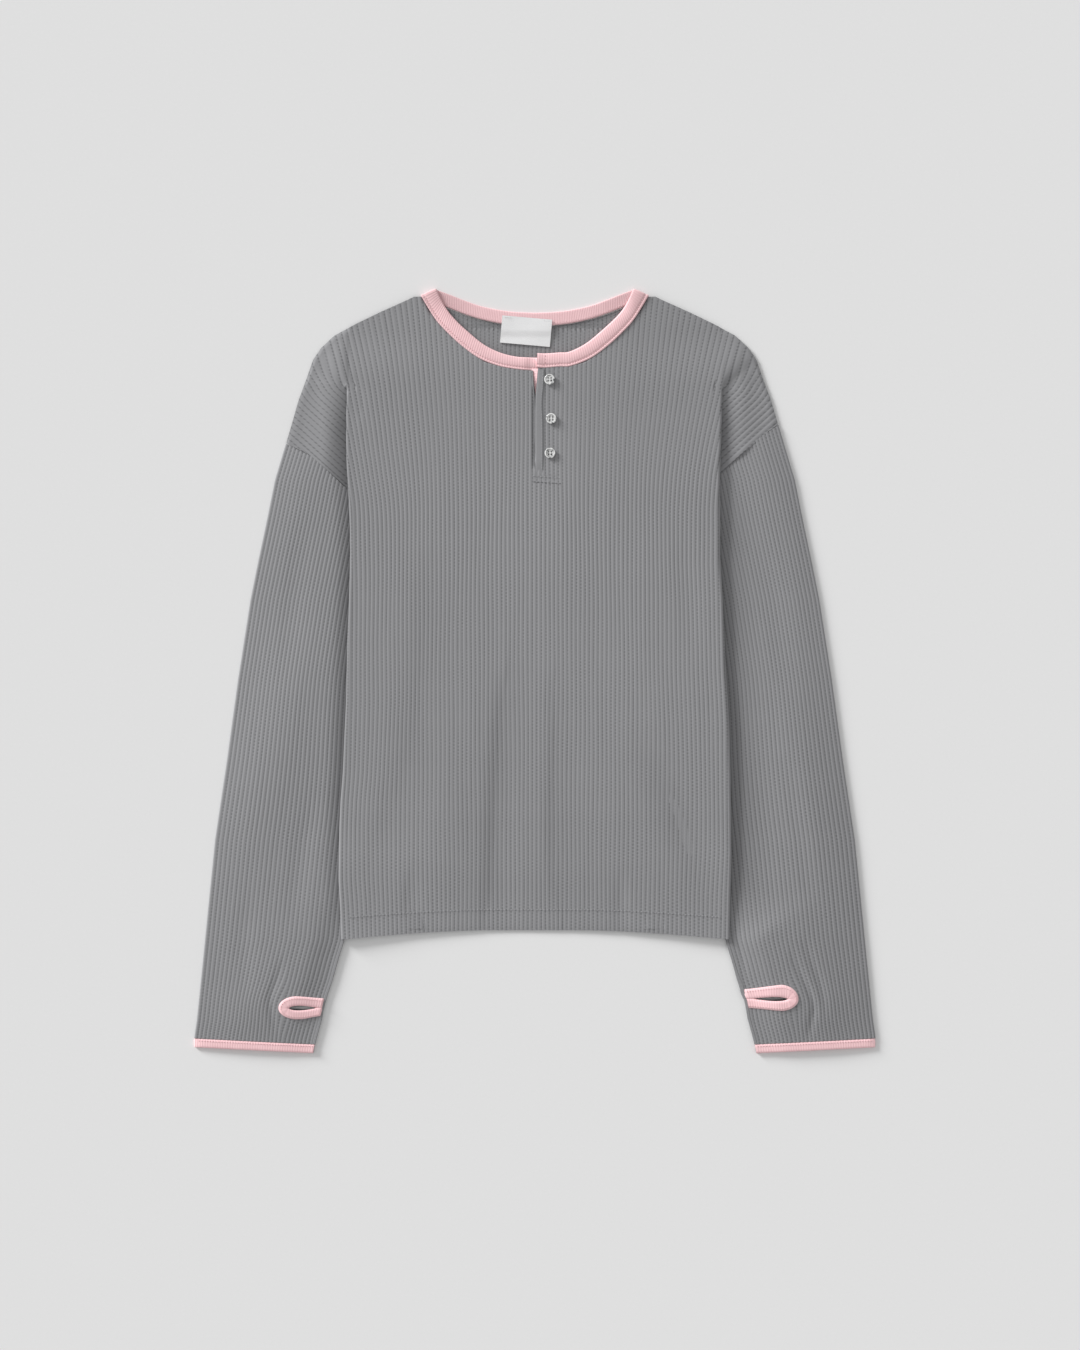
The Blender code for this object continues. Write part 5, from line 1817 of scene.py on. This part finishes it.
@dataclass
class HemStitch:
    """The coverstitch line round the front's hem."""

    wardrobe: Wardrobe
    front: Front
    above: float = 18.9

    def build(self) -> None:
        """Makes the stitches on the front's face."""
        for side in Side:
            order = np.linspace(1.2, 172, 160)
            y = CUT.hem_y + self.above + 0 * order
            points = self.front.upper_wall(side, order, y)
            points[:, 2] = self.front.surface(side, points[:, 0], y) + 0.08
            Stitches(f"hem_stitches_{side.word}", 2.2, 0.9, 0.26).build(
                side.turn(points), self.wardrobe.thread)


# ---------------------------------------------------------------- the studio


@dataclass
class Studio:
    """The pale surface, the soft light and the camera straight above."""

    wardrobe: Wardrobe
    width_px: int = 1080
    height_px: int = 1350
    middle_px: tuple[float, float] = (534.8, 671.5)
    mm_a_pixel: float = 0.92
    lens: float = 85.0
    sensor: float = 36.0
    floor_m: float = 8.0
    sky: float = 0.572
    sun: float = 4.25
    sun_width: float = 18.0
    sun_tilt: float = 75.0
    sun_turn: float = 230.0

    def build(self) -> None:
        """Makes the stage, the lights and the camera."""
        self.add_floor()
        self.add_light()
        self.add_camera()

    def add_floor(self) -> None:
        """Makes the surface."""
        bpy.ops.mesh.primitive_plane_add(size=self.floor_m, location=(0, 0, 0))
        floor = bpy.context.object
        floor.name = "surface"
        floor.data.materials.append(self.wardrobe.floor.material)

    def add_light(self) -> None:
        """Makes a broad soft light from the upper left and an even fill."""
        world = bpy.data.worlds.new("studio")
        world.use_nodes = True
        sky = next(n for n in world.node_tree.nodes if n.type == "BACKGROUND")
        sky.inputs["Color"].default_value = (1.0, 1.0, 1.0, 1.0)
        sky.inputs["Strength"].default_value = self.sky
        bpy.context.scene.world = world
        lamp = bpy.data.lights.new("key", "SUN")
        lamp.energy, lamp.angle = self.sun, math.radians(self.sun_width)
        key = bpy.data.objects.new("key", lamp)
        key.rotation_euler = (math.radians(self.sun_tilt), 0, math.radians(self.sun_turn))
        bpy.context.collection.objects.link(key)

    def add_camera(self) -> None:
        """Makes the camera, looking straight down."""
        lens = bpy.data.cameras.new("camera")
        lens.lens, lens.sensor_width, lens.clip_end = self.lens, self.sensor, 20
        camera = bpy.data.objects.new("camera", lens)
        scale = self.mm_a_pixel * MM
        camera.location = ((self.width_px / 2 - self.middle_px[0]) * scale,
                           (self.middle_px[1] - self.height_px / 2) * scale,
                           self.height_px * scale * self.lens / self.sensor)
        bpy.context.collection.objects.link(camera)
        bpy.context.scene.camera = camera
        bpy.context.scene.view_settings.view_transform = "Standard"


def main() -> None:
    """Builds the shirt's looks in order and reports each piece."""
    logging.basicConfig(level=logging.INFO, format="%(name)s: %(message)s")
    wardrobe = Wardrobe()
    front = Front(wardrobe)
    steps: dict[str, Any] = {
        "front": front, "back": Back(wardrobe), "neck binding": NeckBinding(wardrobe),
        "placket": Placket(wardrobe, front), "label": Label(wardrobe),
        "hem stitches": HemStitch(wardrobe, front),
    }
    for side in Side:
        sleeve = Sleeve(wardrobe, side)
        steps[f"{side.word} sleeve"] = sleeve
        steps[f"{side.word} cuff"] = CuffBinding(wardrobe, sleeve)
        steps[f"{side.word} thumbhole"] = ThumbholeBinding(wardrobe, sleeve)
    steps["studio"] = Studio(wardrobe)
    for name, piece in steps.items():
        piece.build()
        LOG.info("made the %s", name)


if __name__ == "__main__":
    main()
